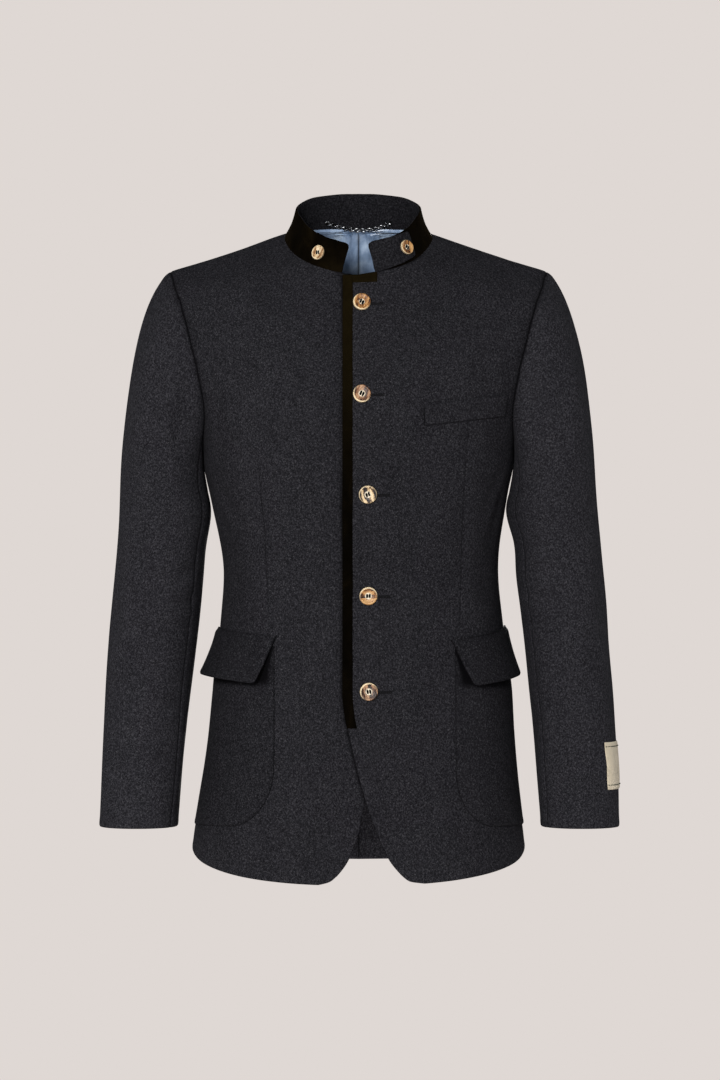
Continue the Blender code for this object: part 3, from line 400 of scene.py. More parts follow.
def head_way(deg):
    c, s = math.cos(math.radians(deg)), math.sin(math.radians(deg))
    t, f, u, b = (np.array(HEAD[k], float) for k in ("top", "front", "under", "back"))
    v = (t + u) / 2 + (t - u) / 2 * c + (f - b) / 2 * s + ((f + b) / 2 - (t + u) / 2) * s * s
    return {"dir": unit(v[:3]), "hold": v[3], "rise": v[4]}


sections = table(SLEEVE_COLUMNS, SLEEVE)
SECTION_SPLINE = Spline(-sections["z"],
                        np.column_stack([sections[n] for n in SLEEVE_COLUMNS.split()[1:]]))

# ------------------------------------------------------------------ pocket tables
POCKET_COLUMNS = "inner outer top low_in low_out round_x round_z"
POCKET = {"right": (97.5, 240.0, -474, -678, -684, 56, 66),
          "left": (113.0, 245.0, -477, -680, -684, 52, 62)}
FLAP_COLUMNS = "inner outer top_in top_out low_in low_out slant"
FLAP = {"right": (94.5, 236.0, -462, -454, -517, -509, 18),
        "left": (107.5, 240.0, -467, -452, -520, -510, 20)}
FLAP_STEP, FLAP_DROP, FLAP_TALL = 2.5, 55.0, 56
FLAP_FLARE = {"right": 14.5, "left": 9.0}
WELT = [(75.0, -223.5), (185.5, -211), (185.5, -185.5), (75.0, -199)]
WELT_WIDE, WELT_TALL = 112, 26

# ------------------------------------------------------------------ finer form
RELIEF_SEAM = 0.85      # how far a seam sinks
MIRROR = {"left": np.array([1.0, 1, 1]), "right": np.array([-1.0, 1, 1])}


def row_at(v, a):
    """Points at distances a from the centre line along the row, past either end too."""
    row = body.row(v)
    size = lengths(row)[-1]
    p = line_at(row, np.linspace(0, size, SAMPLES), np.abs(a))
    p[:, 0] *= np.where(a < 0, -1, 1)
    over = np.clip(np.abs(a) - size, 0, None)
    return p + unit(row[-1] - row[-4]) * over[:, None]


def grid_normals(p, axis):
    """Outward unit normals of a grid of points; axis gives the middle that it goes round."""
    du, dv = np.gradient(p, axis=0), np.gradient(p, axis=1)
    n = unit(np.cross(du, dv))
    return n if np.sum(n * (p - axis(p))) > 0 else -n


def body_axis(p):
    q = np.zeros_like(p)
    q[..., 1], q[..., 2] = 5.0, p[..., 2] - 50
    return q


def spread(a, b, step, fine_a=(), fine_b=()):
    """Stops from a to b, with finer ones at the ends."""
    way = 1 if b > a else -1
    first, last = [a + way * f for f in fine_a], [b - way * f for f in fine_b]
    lo, hi = (first or [a])[-1], (last or [b])[-1]
    n = max(int(abs(hi - lo) / step), 2)
    mid = list(np.linspace(lo, hi, n + 1))
    return np.array((first[:-1] if first else []) + mid + (last[::-1][1:] if last else []))


FINE = (0.0, 0.35, 0.8, 1.4, 2.2, 3.4, 5.2)


def seam(d):
    return -RELIEF_SEAM * bell(d, 1.5) - 0.45 * bell(d, 5.0)


def edge(d):
    """A turned edge: rounded over, a little full behind."""
    return -0.75 * bell(d, 0.75) + 0.30 * bell(d - 5, 4.0)


def waves(u, z, seed, size=1.0):
    """Slow unevenness that steam and wear leave in wool."""
    r = np.random.default_rng(seed)
    h = np.zeros(np.shape(u))
    for _ in range(7):
        ang, far, ph = r.uniform(0, math.pi), r.uniform(45, 150), r.uniform(0, 6.28)
        h = h + np.sin((u * math.cos(ang) + z * math.sin(ang) * 0.7) * 6.283 / far + ph) * far / 150
    return h * 0.42 * size


def fold_field(u, z, marks, seed):
    """Soft uneven troughs and the ridges beside them, along listed lines (u, z)."""
    r = np.random.default_rng(seed)
    h = np.zeros(np.shape(u))
    for pts, wide, deep in marks:
        p = np.array(pts, float)
        far = lengths(p)
        sp = Spline(far, p) if len(p) > 2 else None
        q = np.linspace(0, far[-1], 22)
        straight = p[0] + (p[-1] - p[0]) * (q / far[-1])[:, None]
        line = np.array([sp(x) for x in q]) if sp else straight
        line = line + np.cumsum(r.normal(0, 0.5, line.shape), axis=0) * 0.5
        best, along = np.full(np.shape(u), 1e9), np.zeros(np.shape(u))
        for k in range(len(line) - 1):
            a, b = line[k], line[k + 1]
            d = b - a
            t = np.clip(((u - a[0]) * d[0] + (z - a[1]) * d[1]) / max(d @ d, 1e-9), 0, 1)
            dist = np.hypot(u - a[0] - t * d[0], z - a[1] - t * d[1])
            near = dist < best
            best = np.where(near, dist, best)
            along = np.where(near, (k + t) / (len(line) - 1), along)
        w = wide * (0.75 + 0.5 * along)
        amount = np.sin(np.clip(along, 0.001, 0.999) * math.pi) ** 0.8
        x = best / w
        h = h - deep * amount * (np.exp(-x ** 2) - 0.42 * bell(x - 1.9, 0.8))
    return h


def folds(text):
    """One fold on each line: its width, its depth, then the points that it goes through."""
    rows = [[float(n) for n in line.split()] for line in text.strip().splitlines()]
    return [(list(zip(r[2::2], r[3::2])), r[0], r[1]) for r in rows]


# The points are distance from the centre line, and height.
FRONT_FOLDS = {
    "left": folds("""
        8 1.6  196 -262  172 -300  150 -332
        9 1.3  202 -285  184 -330  168 -372
        12 1  205 -395  170 -402  140 -398
        16 0.9  60 -250  66 -320  60 -390
        14 0.9  150 -120  140 -170  128 -205
        15 0.8  60 -560  70 -620  64 -690
        10 0.9  180 -60  172 -110  176 -160
        """),
    "right": folds("""
        8 1.7  194 -266  170 -305  146 -340
        9 1.4  200 -292  182 -338  164 -384
        12 1  203 -402  168 -408  136 -402
        16 0.9  56 -235  64 -310  58 -380
        14 0.9  146 -125  138 -180  126 -225
        15 0.8  54 -565  66 -630  60 -700
        10 0.9  178 -62  170 -112  174 -165
        """),
}
BACK_FOLDS = {
    "left": folds("""
        11 2.2  182 -70  176 -130  178 -200  184 -245
        12 1.3  160 -95  152 -160  156 -225
        11 1.9  215 -330  160 -352  100 -360
        12 2.1  222 -365  165 -384  90 -392  30 -388
        9 1.2  210 -300  150 -318  112 -322
        15 1.6  70 -405  84 -480  92 -560
        15 1.5  140 -410  150 -500  154 -600
        15 1.2  60 -40  92 -90  104 -140
        """),
    "right": folds("""
        11 2.3  180 -72  174 -134  176 -204  183 -248
        12 1.2  158 -100  150 -165  155 -230
        11 1.8  214 -336  158 -356  96 -362
        12 2  220 -372  160 -388  84 -396  24 -390
        9 1.3  208 -304  146 -324  106 -328
        15 1.7  66 -408  78 -486  88 -570
        15 1.4  136 -414  146 -505  150 -605
        15 1.1  58 -42  90 -94  100 -146
        """),
}
# On the sleeves they are degrees round from the outer line (90 is the front), and height.
SLEEVE_FOLDS = {
    "left": folds("""
        8 1.9  88 -150  104 -215  112 -268
        9 1.3  66 -165  84 -240  98 -305
        8 2  272 -150  258 -215  250 -270
        9 1.4  296 -170  280 -250  268 -310
        9 2  150 -372  112 -392  72 -398
        8 2.3  160 -412  118 -420  78 -416
        9 1.7  156 -448  116 -444  80 -436
        11 1  24 -330  34 -400  30 -470
        10 1.6  196 -330  190 -400  196 -470
        11 1.1  212 -420  250 -428  282 -420
        9 1.2  140 -530  104 -548  70 -552
        12 0.9  330 -90  338 -150  334 -215
        10 0.7  48 -560  56 -610  50 -660
        9 1.1  170 -560  176 -620  168 -668
        """),
    "right": folds("""
        8 2  90 -148  106 -212  113 -264
        9 1.3  68 -160  86 -236  100 -300
        8 1.9  270 -152  257 -218  249 -274
        9 1.4  294 -172  278 -252  266 -315
        9 2.1  152 -378  114 -398  74 -402
        8 2.2  160 -418  120 -426  80 -424
        9 1.6  154 -454  114 -452  78 -444
        11 1  26 -335  36 -405  31 -478
        10 1.5  198 -335  192 -405  198 -478
        11 1.1  214 -424  252 -432  284 -424
        9 1.2  142 -536  106 -554  72 -558
        12 0.9  332 -92  340 -152  335 -220
        10 0.7  46 -566  55 -614  48 -664
        9 1.1  168 -566  174 -624  167 -670
        """),
}
DARTS = {"left": ([-218, -240, -320, -400, -465], [126.5, 124.5, 119.5, 116.8, 115.0]),
         "right": ([-256, -290, -340, -400, -443], [115.5, 112.8, 107.6, 105.0, 103.2])}


def dart_at(word, z):
    zs, xs = DARTS[word]
    return np.interp(-z, -np.array(zs), xs)


def relief(word, back, a, z):
    """Folds and unevenness of one panel, at distance a from the centre line and height z."""
    seed = 11 + (word == "left") + 2 * back
    marks = (BACK_FOLDS if back else FRONT_FOLDS)[word]
    calm = 1.0 if back else 0.8
    return fold_field(a, z, marks, seed) + waves(a, z, seed + 40, 1.15 if back else 0.75) * calm


def under_lap(a, word):
    """How far the right front sits back beneath the lap."""
    if word == "left":
        return np.zeros(np.shape(a))
    return LAP * (1 - smooth((a - LAP_FULL) / LAP_FADE))


# ------------------------------------------------------------------ meshes
def mesh_piece(name, points, faces, smooth_angle=52):
    """A mesh from millimetre points and a list or array of faces, smooth but for its rims."""
    mesh = bpy.data.meshes.new(name)
    faces = [tuple(int(i) for i in f) for f in faces]
    mesh.from_pydata((swayed(name, points) * MM).tolist(), [], faces)
    mesh.polygons.foreach_set("use_smooth", [True] * len(mesh.polygons))
    mesh.set_sharp_from_angle(angle=math.radians(smooth_angle))
    mesh.update()
    ob = bpy.data.objects.new(name, mesh)
    bpy.context.scene.collection.objects.link(ob)
    return ob


def quads(shape, mask=None):
    r, c = shape
    i = np.arange(r * c).reshape(r, c)
    f = np.stack([i[:-1, :-1], i[1:, :-1], i[1:, 1:], i[:-1, 1:]], axis=-1).reshape(-1, 4)
    if mask is not None:
        ok = mask.reshape(-1)
        f = f[ok[f].all(axis=1)]
    return f


def shell(name, outer, inner, mask=None, painted_light_shade_and_seams=None, painted_light_shade_and_seams_in=None):
    """A closed thin cloth from two grids of points, its rim included.

    The values given for each point darken seam lines and paint shade; below nought they paint
    light.
    """
    shape = outer.shape[:2]
    f = quads(shape, mask)
    o, q = outer.reshape(-1, 3), inner.reshape(-1, 3)
    k = f[len(f) // 2]
    if np.dot(np.cross(o[k[1]] - o[k[0]], o[k[2]] - o[k[0]]), o[k[0]] - q[k[0]]) < 0:
        f = f[:, ::-1]
    n = len(o)
    e = np.concatenate([f[:, [0, 1]], f[:, [1, 2]], f[:, [2, 3]], f[:, [3, 0]]])
    key = np.sort(e, axis=1)
    _, idx, cnt = np.unique(key[:, 0] * 10 ** 7 + key[:, 1], return_index=True, return_counts=True)
    rim = e[idx[cnt == 1]]
    rim = np.column_stack([rim[:, 1], rim[:, 0], n + rim[:, 0], n + rim[:, 1]])
    faces = np.concatenate([f, f[:, ::-1] + n, rim])
    used = np.unique(faces)
    new = np.full(2 * n, -1)
    new[used] = np.arange(len(used))
    ob = mesh_piece(name, np.concatenate([o, q])[used], new[faces])
    # the same on the inner grid, unless that has its own
    painted_light_shade_and_seams = np.zeros(shape) if painted_light_shade_and_seams is None else painted_light_shade_and_seams + np.zeros(shape)
    p = np.concatenate([painted_light_shade_and_seams.reshape(-1), (painted_light_shade_and_seams if painted_light_shade_and_seams_in is None else painted_light_shade_and_seams_in).reshape(-1)])
    at = ob.data.attributes.new("painted_light_shade_and_seams", "FLOAT", "POINT")
    at.data.foreach_set("value", p[used].astype(np.float32))
    return ob


# ------------------------------------------------------------------ the four panels
grids, pieces = {}, {}
COMMON = {}


def arm_common(v):
    """The way that body and sleeve share along the armhole seam, and the body's own inside it."""
    v = min(max(v, body.v_under_front + 1e-3), body.v_under_back - 1e-3)
    k = round(v, 4)
    if k not in COMMON:
        _, m_t, m_s = arm_spot(v)
        COMMON[k] = (unit(unit(m_t) + unit(m_s)), m_t)
    return COMMON[k]


def quiet(d, reach=14.0):
    """Folds die out toward a seam."""
    return 1 - bell(np.abs(d), reach)


def dart_line(word, v):
    """Distance of the dart from the centre line, along one row of a front."""
    row = body.row(v)
    return float(np.interp(dart_at(word, min(row[0, 2], -60)), row[:, 0],
                           np.linspace(0, body.length(v), SAMPLES)))


def torso(word, back):
    """One panel: rows of points, its folds and seams, then the two sides of the cloth."""
    end = body.v_end if back else 0.0
    neck_v = body.v_neck_back if back else body.v_neck_front
    arm_v = body.v_under_back if back else body.v_under_front
    a = spread(body.v_shoulder, neck_v, 4.4, fine_a=FINE)
    b = spread(neck_v, arm_v, 4.4)
    c = spread(arm_v, end, 4.6, fine_b=FINE)
    vs = np.concatenate([a, b[1:], c[1:]])
    n_a, n_arm = len(a), len(a) + len(b) - 1
    lap = 0.0 if back else -edges[word][-1]
    # extra columns of a front, from its edge to just past the centre line
    strip = [] if back else [0, 0.35, 0.8, 1.4, 2.2, 3.4, 5.2, 8, 11, 14]
    near = np.array([-4.6, -2.6, -1.5, -0.8, -0.35, 0, 0.35, 0.8, 1.5, 2.6, 4.6])
    fine_in, fine_out = np.array(FINE[:-1]), np.array(FINE[:-1])[::-1]
    p, far, wide, start_d, mask = [], [], [], [], []
    for i, v in enumerate(vs):
        size = body.length(v)
        out = body.arm(v) * size
        if i < n_a - 1:
            start = body.neck(v) * size
            lead = [start] * len(strip)
        elif back:
            start = 0.0
        else:
            a0 = float(piecewise(edges["z"], edges[word], body.row(v)[0, 2]))
            start = a0 + lap
            lead = [a0 + w * lap / 17.6 for w in strip]
        if back:
            inner_part = start + 5.2 + (out - 5.2 - start - 5.2) * np.linspace(0, 1, 60)
            aa = np.concatenate([start + fine_in, inner_part, out - fine_out])
        else:
            d0 = dart_line(word, v)
            aa = np.concatenate([lead, np.linspace(start, d0 - 7, 26), d0 + near,
                                 np.linspace(d0 + 7, out - 5.2, 27), out - fine_out])
        p.append(row_at(v, aa))
        far.append(aa)
        start_d.append(aa - aa[0])
        wide.append(out - aa)
        mask.append([not (j < len(strip) and i < n_a - 1) for j in range(len(aa))])
    p, far, wide, start_d, mask = (np.array(x) for x in (p, far, wide, start_d, mask))
    # above the neck the strip doesn't exist: its points fan out, so that the normals stay defined
    k = len(strip)
    for i in range(n_a - 1):
        for j in range(k):
            p[i, j] = p[i, k] - (p[i, k + 1] - p[i, k]) * (k - j)
    n = grid_normals(p, body_axis)
    zz = p[..., 2]
    d_arm = wide
    d_sh = np.abs(vs - body.v_shoulder)[:, None]
    h = relief(word, back, far, zz) * quiet(d_arm) * quiet(d_sh)
    if back:
        h = h * quiet(far, 9.0)
    d_hem = np.abs(vs - end)[:, None]
    h = h + seam(d_arm)
    h = h + seam(d_sh)
    h = h + edge(d_hem)
    if back:
        h = h + seam(far)
    else:
        lead_rows = (np.arange(len(vs)) >= n_a - 1)[:, None]
        h = h + np.where(lead_rows, edge(start_d), 0.0)
        zs, _ = DARTS[word]
        d0 = np.array([dart_line(word, v) for v in vs])[:, None]
        on = smooth((zs[0] - zz) / 30 + 0.15) * smooth((zz - zs[-1]) / 30 + 0.15)
        x = np.abs(far - d0)
        h = h - on * (0.6 * bell(x, 0.9) + 0.7 * bell(x, 7))
        painted_light_shade_and_seams = on * (0.42 if word == "right" else 0.34) * bell(x, 1.0)
        # painted shade along the front's turned edge
        painted_light_shade_and_seams = np.maximum(painted_light_shade_and_seams, np.where(lead_rows, 0.8 * bell(start_d, 0.7), 0))
        h = h - under_lap(far, word)
        if word == "left":
            # the shadow line below the collar's tab
            under_tab = smooth((far - 14) / 6) * (1 - smooth((far - 66) / 14))
            under_tab = np.where(lead_rows, 0.0, under_tab)
            line = np.exp(-(np.maximum(start_d, 0) / 2.6) ** 4)
            painted_light_shade_and_seams = np.maximum(painted_light_shade_and_seams, 0.9 * under_tab * line)
        if word == "right":
            # painted shadow of the lap on the under front, beside the left front's edge
            beyond = np.clip(far + np.interp(zz, edges["z"], edges["left"]), 0, None)
            painted_light_shade_and_seams = np.maximum(painted_light_shade_and_seams, 0.9 * bell(beyond, 1.5) + 0.22 * bell(beyond, 8))
    if back:
        painted_light_shade_and_seams = 0.8 * bell(far, 1.0)
    # painted shade along the hem's turned edge
    painted_light_shade_and_seams = np.maximum(painted_light_shade_and_seams, 0.8 * bell(d_hem, 0.7))
    painted_light_shade_and_seams = np.maximum(painted_light_shade_and_seams, 0.75 * bell(d_sh, 1.0))
    arm_rows = (np.arange(len(vs)) < n_arm)[:, None]
    # a dark line at the armhole seam with a broad painted shade round it; below the armhole, the
    # side seam's dark line
    at_arm = 0.8 * bell(d_arm, 1.7) + 0.18 * bell(d_arm, 8)
    painted_light_shade_and_seams = np.maximum(painted_light_shade_and_seams, np.where(arm_rows, at_arm, 0.75 * bell(d_arm, 1.0)))
    ways = n.copy()
    for i, v in enumerate(vs[:n_arm]):
        w = bell(wide[i], 3.0)[:, None]
        ways[i] = n[i] * (1 - w) + arm_common(v)[0] * w
    outer = p + ways * h[..., None]
    m = grid_normals(outer, body_axis)
    thick = np.full(h.shape, CLOTH)
    thin = 1.15 * bell(d_hem, 0.75) * np.ones_like(h)
    if not back:
        thin = np.maximum(thin, np.where(lead_rows, 1.15 * bell(start_d, 0.75), 0))
    turn = 1.0 - smooth((d_hem - 21.5) / 1.6)
    thick = thick - thin + (0.9 * turn * smooth(d_hem / 2.5) if back else 0.0)
    way = m.copy()
    for i, v in enumerate(vs[:n_arm]):
        w = bell(wide[i], 3.0)[:, None]
        way[i] = m[i] * (1 - w) + arm_common(v)[1] * w
    inner = outer - way * thick[..., None]
    k = MIRROR[word]
    name = ("back_" if back else "front_") + word
    grids[name] = {"inner": inner * k, "n": m * k, "far": far, "rows": vs}
    painted_light_shade_and_seams_in = None
    if back:
        # painted light on the facing inside the hem, where the open fronts show it; a dark line at
        # its turn-up and at the centre back seam
        painted_light_shade_and_seams_in = -smooth((150 - d_hem) / 40) * smooth((90 - far) / 40)
        painted_light_shade_and_seams_in = painted_light_shade_and_seams_in * (1 - 0.35 * smooth((d_hem - 22) / 3))
        painted_light_shade_and_seams_in = painted_light_shade_and_seams_in + 0.9 * bell(d_hem - 22.3, 0.8) + 0.5 * bell(far, 0.8)
    pieces[name] = shell(name, outer * k, inner * k, mask, painted_light_shade_and_seams, painted_light_shade_and_seams_in)


for word in ("left", "right"):
    torso(word, False)
    torso(word, True)


class Face:
    """The finished front of one side, looked up by distance from centre front and height."""

    def __init__(self, word):
        vs = np.linspace(0, body.v_shoulder, 180)
        self.a = np.arange(-30, 264, 2.0)
        p = np.array([row_at(v, self.a) for v in vs])
        a = np.broadcast_to(self.a, p.shape[:2])
        n = grid_normals(p, body_axis)
        h = relief(word, False, a, p[..., 2]) - under_lap(a, word)
        p = p + n * h[..., None]
        self.g = np.concatenate([p, grid_normals(p, body_axis)], axis=-1)
        self.k = MIRROR[word]
        self.size = np.array([[row_at(v, self.a[:1])[0, 2], body.length(v)] for v in vs])

    def at(self, a, z):
        a, z = np.broadcast_arrays(np.asarray(a, float), np.asarray(z, float))
        f = np.clip((a - self.a[0]) / 2.0, 0, len(self.a) - 1.001)
        m = f.astype(int)
        w = f - m
        out = np.zeros(a.shape + (6,))
        for s in (0, 1):
            wt = w if s else 1 - w
            for c in np.unique(m + s):
                sel = (m + s) == c
                col = self.g[:, c]
                for q in range(6):
                    out[sel, q] += wt[sel] * np.interp(z[sel], col[:, 2], col[:, q])
        return out[..., :3] * self.k, unit(out[..., 3:]) * self.k

    def side_seam(self, z):
        return np.interp(z, self.size[:, 0], self.size[:, 1]) - 1.0


face = {w: Face(w) for w in ("left", "right")}

# ------------------------------------------------------------------ sleeves
SEC_Z = np.arange(-688.0, -262.0, 2.0)
SEC = np.array([SECTION_SPLINE(-z) for z in SEC_Z])


def across(z, side):
    """The sleeve's inner and outer line, its middle and its depth at heights z."""
    in_r, out_r, in_l, out_l, mid, deep = (np.interp(z, SEC_Z, SEC[:, k]) for k in range(6))
    return (in_l, out_l, mid, deep) if side > 0 else (in_r, out_r, mid, deep)


def sections_at(z, deg, side):
    near, far, mid, deep = across(z, side)
    c, s = np.cos(np.radians(deg)), np.sin(np.radians(deg))
    k = 2 / SLEEVE_FULL
    x = (near + far) / 2 + (far - near) / 2 * np.sign(c) * np.abs(c) ** k
    y = mid - deep / 2 * np.sign(s) * np.abs(s) ** k
    return np.stack([x, y, z + np.zeros_like(x)], axis=-1)


def sleeve_axis(side):
    def axis(p):
        near, far, mid, _ = across(np.clip(p[..., 2] - 20, CUFF_Z, -268), side)
        return np.stack([(near + far) / 2 - 12, mid, p[..., 2] - 25], axis=-1)
    return axis


def sleeve_form(side, degs, ts):
    """Points by (turn, step along), with the armhole's own directions."""
    p = np.zeros((len(degs), len(ts), 3))
    m0 = np.zeros((len(degs), 3))
    share = np.zeros((len(degs), 3))
    for i, deg in enumerate(degs):
        d = deg % 360
        c = math.cos(math.radians(d))
        zb = BICEPS_Z + 8 * c
        p0, _, m_s = arm_spot(v_of_turn(d))
        h = head_way(d)
        m0[i] = m_s
        share[i] = arm_common(v_of_turn(d))[0]
        p3, low = sections_at(np.array([zb, zb - 20]), d, side)
        p1, p2 = p0 + h["dir"] * h["hold"], p3 + unit(p3 - low) * h["rise"]
        t = ts[ts <= 1][:, None]
        a = 1 - t
        p[i, :len(t)] = a ** 3 * p0 + 3 * a * a * t * p1 + 3 * a * t * t * p2 + t ** 3 * p3
        z = zb - (ts[ts > 1] - 1) * (zb - CUFF_Z) / (BICEPS_Z - CUFF_Z)
        p[i, len(t):] = sections_at(z, d, side)
    return p, m0, share


TS = np.concatenate([[0, 0.006, 0.014, 0.025, 0.04, 0.06], np.linspace(0.085, 1, 30),
                     spread(1, 1 + BICEPS_Z - CUFF_Z, 4.6, fine_b=FINE)[1:]])


def sleeve_part(word, part):
    side = 1 if word == "left" else -1
    lo, hi = (SEAM_AFT, 360 + SEAM_FORE) if part == "upper" else (SEAM_FORE, SEAM_AFT)
    degs = spread(lo, hi, 3.3, FINE, FINE)
    p, m0, share = sleeve_form(side, degs, TS)
    n = grid_normals(p, sleeve_axis(side))
    step = np.linalg.norm(np.diff(p, axis=1), axis=2)
    down = np.concatenate([np.zeros((len(degs), 1)), np.cumsum(step, axis=1)], axis=1)
    d_seam = np.minimum(degs - lo, hi - degs)[:, None] * 1.1
    cuff = down[:, -1:] - down
    c = np.cos(np.radians(degs))[:, None]
    turn = degs % 360
    u = np.where(turn > 330, turn - 360, turn)[:, None] * 1.15 + np.zeros_like(down)
    # the second time for the folds that reach round past the outer line
    h = 0.0
    for back_by, seed in ((0, 70), (414, 80)):
        marks = [([(x * 1.15 - back_by, y) for x, y in pts], w, dp)
                 for pts, w, dp in SLEEVE_FOLDS[word] if not back_by or pts[0][0] > 260]
        h = h + fold_field(u, p[..., 2], marks, seed + side)
    h = h + waves(np.sin(np.radians(degs))[:, None] * 90 + 20, p[..., 2], 90 + side, 0.9)
    h = h * quiet(down) + seam(d_seam) * smooth(down / 6)
    full = np.clip(c + 0.35, 0, 1)
    h = h + seam(down) + full * 0.5 * bell(down - 9, 6.0)
    h = h + edge(cuff)
    w = bell(down, 3.0)[..., None]
    outer = p + (n * (1 - w) + share[:, None, :] * w) * h[..., None]
    m = grid_normals(outer, sleeve_axis(side))
    way = m * (1 - w) + m0[:, None, :] * w
    thick = CLOTH - 1.15 * bell(cuff, 0.75)
    inner = outer - way * thick[..., None]
    k = MIRROR[word]
    name = "sleeve_" + word + "_" + part
    grids[name] = {"outer": outer * k, "degs": degs}
    # dark seam lines; painted shade along the cuff's turned edge and round the armhole
    painted_light_shade_and_seams = np.maximum(0.75 * bell(d_seam, 1.0), 0.8 * bell(cuff, 0.7))
    painted_light_shade_and_seams = np.maximum(painted_light_shade_and_seams, 0.8 * bell(down, 1.4) + 0.12 * bell(down, 7))
    pieces[name] = shell(name, outer * k, inner * k, None, painted_light_shade_and_seams)


for word in ("left", "right"):
    for part in ("upper", "under"):
        sleeve_part(word, part)


# ------------------------------------------------------------------ pockets, flaps, welt
def lay(name, word, a, z, e, rise, painted_light_shade_and_seams):
    """A cloth piece on a front, by grids of distance and height; e is how far its free edge is."""
    f = face[word]
    a = np.minimum(a, f.side_seam(z))
    p, n = f.at(a, z)
    soft = 1 - 0.62 * bell(e, 1.1)
    low = p + n * (GAP + rise + np.zeros(a.shape))[..., None]
    top = low + n * (PATCH * soft + 0.25 * bell(e - 4, 2.5))[..., None]
    pieces[name] = shell(name, top, low, None, painted_light_shade_and_seams)


def cover(name, p, n, t):
    """A thin piece of thickness t that lies on points p with normals n. Gives back its face."""
    low = p + n * GAP
    top = low + n * t[..., None]
    pieces[name] = shell(name, top, low)
    return top


def pocket(word):
    q = dict(zip(POCKET_COLUMNS.split(), POCKET[word]))
    c = spread(0, q["outer"] - q["inner"], 3.6, FINE)
    x = np.clip((q["round_x"] - c) / q["round_x"], 0, 1)
    zb = q["low_in"] + q["round_z"] * (1 - np.sqrt(np.clip(1 - x ** 2, 0, 1)))
    zb = zb + (q["low_out"] - q["low_in"]) * c / c[-1]
    a = q["inner"] + c
    # the rows are finer toward the rounded bottom
    w = spread(0, 1, 1 / 46)
    fine = np.array([0, 0.35, 0.8, 1.4, 2.2, 3.4]) / 190
    w = np.concatenate([w[:-1] * (1 - fine[-1]), 1 - fine[::-1]])
    z = q["top"] + (zb - q["top"])[None, :] * w[:, None]
    aa = np.broadcast_to(a, z.shape)
    # distance to the free edge
    bx = np.interp(np.linspace(0, 1, 220), np.linspace(0, 1, len(a)), a)
    bz = np.interp(bx, a, zb)
    side = np.column_stack([np.full(60, q["inner"]), np.linspace(q["top"], zb[0], 60)])
    line = np.concatenate([side, np.column_stack([bx, bz])])
    d = np.min(np.hypot(aa[..., None] - line[:, 0], z[..., None] - line[:, 1]), axis=-1)
    # painted shadow beside the flap's slanting edge, fading toward the pocket's own edge
    fl = dict(zip(FLAP_COLUMNS.split(), FLAP[word]))
    drop = np.clip((fl["top_in"] - z) / (fl["top_in"] - fl["low_in"]), 0, 1)
    flap_a = fl["inner"] + fl["slant"] * drop
    t = (flap_a - aa) / np.maximum(flap_a - q["inner"], 2.0)
    flap_shadow = np.maximum(1 - smooth((t - 0.22) / 0.45), 0.38 * (1 - smooth((t - 0.8) / 0.2)))
    flap_shadow = flap_shadow * smooth((z - fl["low_in"] + 5) / 8)
    rise = 0.5 * bell(d - 30, 26) + 0.25 * waves(aa, z, 5 if word == "left" else 6)
    # and painted shade along the pocket's free edge
    lay("pocket_" + word, word, aa, z, d, rise, np.maximum(0.66 * bell(d, 1.0), flap_shadow))


def flap(word):
    q = dict(zip(FLAP_COLUMNS.split(), FLAP[word]))
    q["outer"] = min(q["outer"], float(face[word].side_seam(np.array([q["low_out"] + 6.0]))[0]))
    wide = q["outer"] - q["inner"]
    c = spread(0, wide, 3.0, FINE, FINE) / wide
    w = spread(0, FLAP_TALL, 2.2, FINE, FINE) / FLAP_TALL
    u, v = np.meshgrid(c, w)
    a_top, z_top = q["inner"] + wide * u, q["top_in"] + (q["top_out"] - q["top_in"]) * u
    # its top outer corner is rounded, and so are both lower ones
    x = np.clip(1 - (q["outer"] - a_top) / 7.0, 0, 1)
    z_top = z_top - 5.0 * (1 - np.sqrt(1 - x ** 2))
    a_bot = q["inner"] + q["slant"] + (q["outer"] - q["inner"] - q["slant"]) * u
    z_bot = q["low_in"] + (q["low_out"] - q["low_in"]) * u
    for e, r in (((a_bot - q["inner"] - q["slant"]), 7.0), ((q["outer"] - a_bot), 12.0)):
        x = np.clip((r - e) / r, 0, 1)
        z_bot = z_bot + r * (1 - np.sqrt(1 - x ** 2))
    a, z = a_top + (a_bot - a_top) * v, z_top + (z_bot - z_top) * v
    drop = np.clip(z_top - z, 0, None)
    rise = FLAP_STEP * smooth(drop / 7) + FLAP_FLARE[word] * (drop / FLAP_DROP) ** 1.5
    rise = rise + 0.7 * np.sin(u * 7.5 + (1 if word == "left" else 2)) * v ** 2
    rise = rise + 0.4 * np.sin(u * 17) * v ** 2
    d = np.minimum(np.minimum(u * wide, (1 - u) * wide), (1 - v) * FLAP_TALL)
    # painted shade along the flap's edges, heaviest along its top and its inner edge
    top_line = (0.78 if word == "left" else 0.42) * bell(v * FLAP_TALL, 1.1)
    line = np.maximum(0.42 * bell(d, 1.0), top_line * smooth((u - 0.1) / 0.2))
    line = np.maximum(line, 0.85 * bell(u * wide, 1.3) * (1 - smooth((v - 0.5) / 0.3)))
    lay("flap_" + word, word, a, z, d, rise, line)


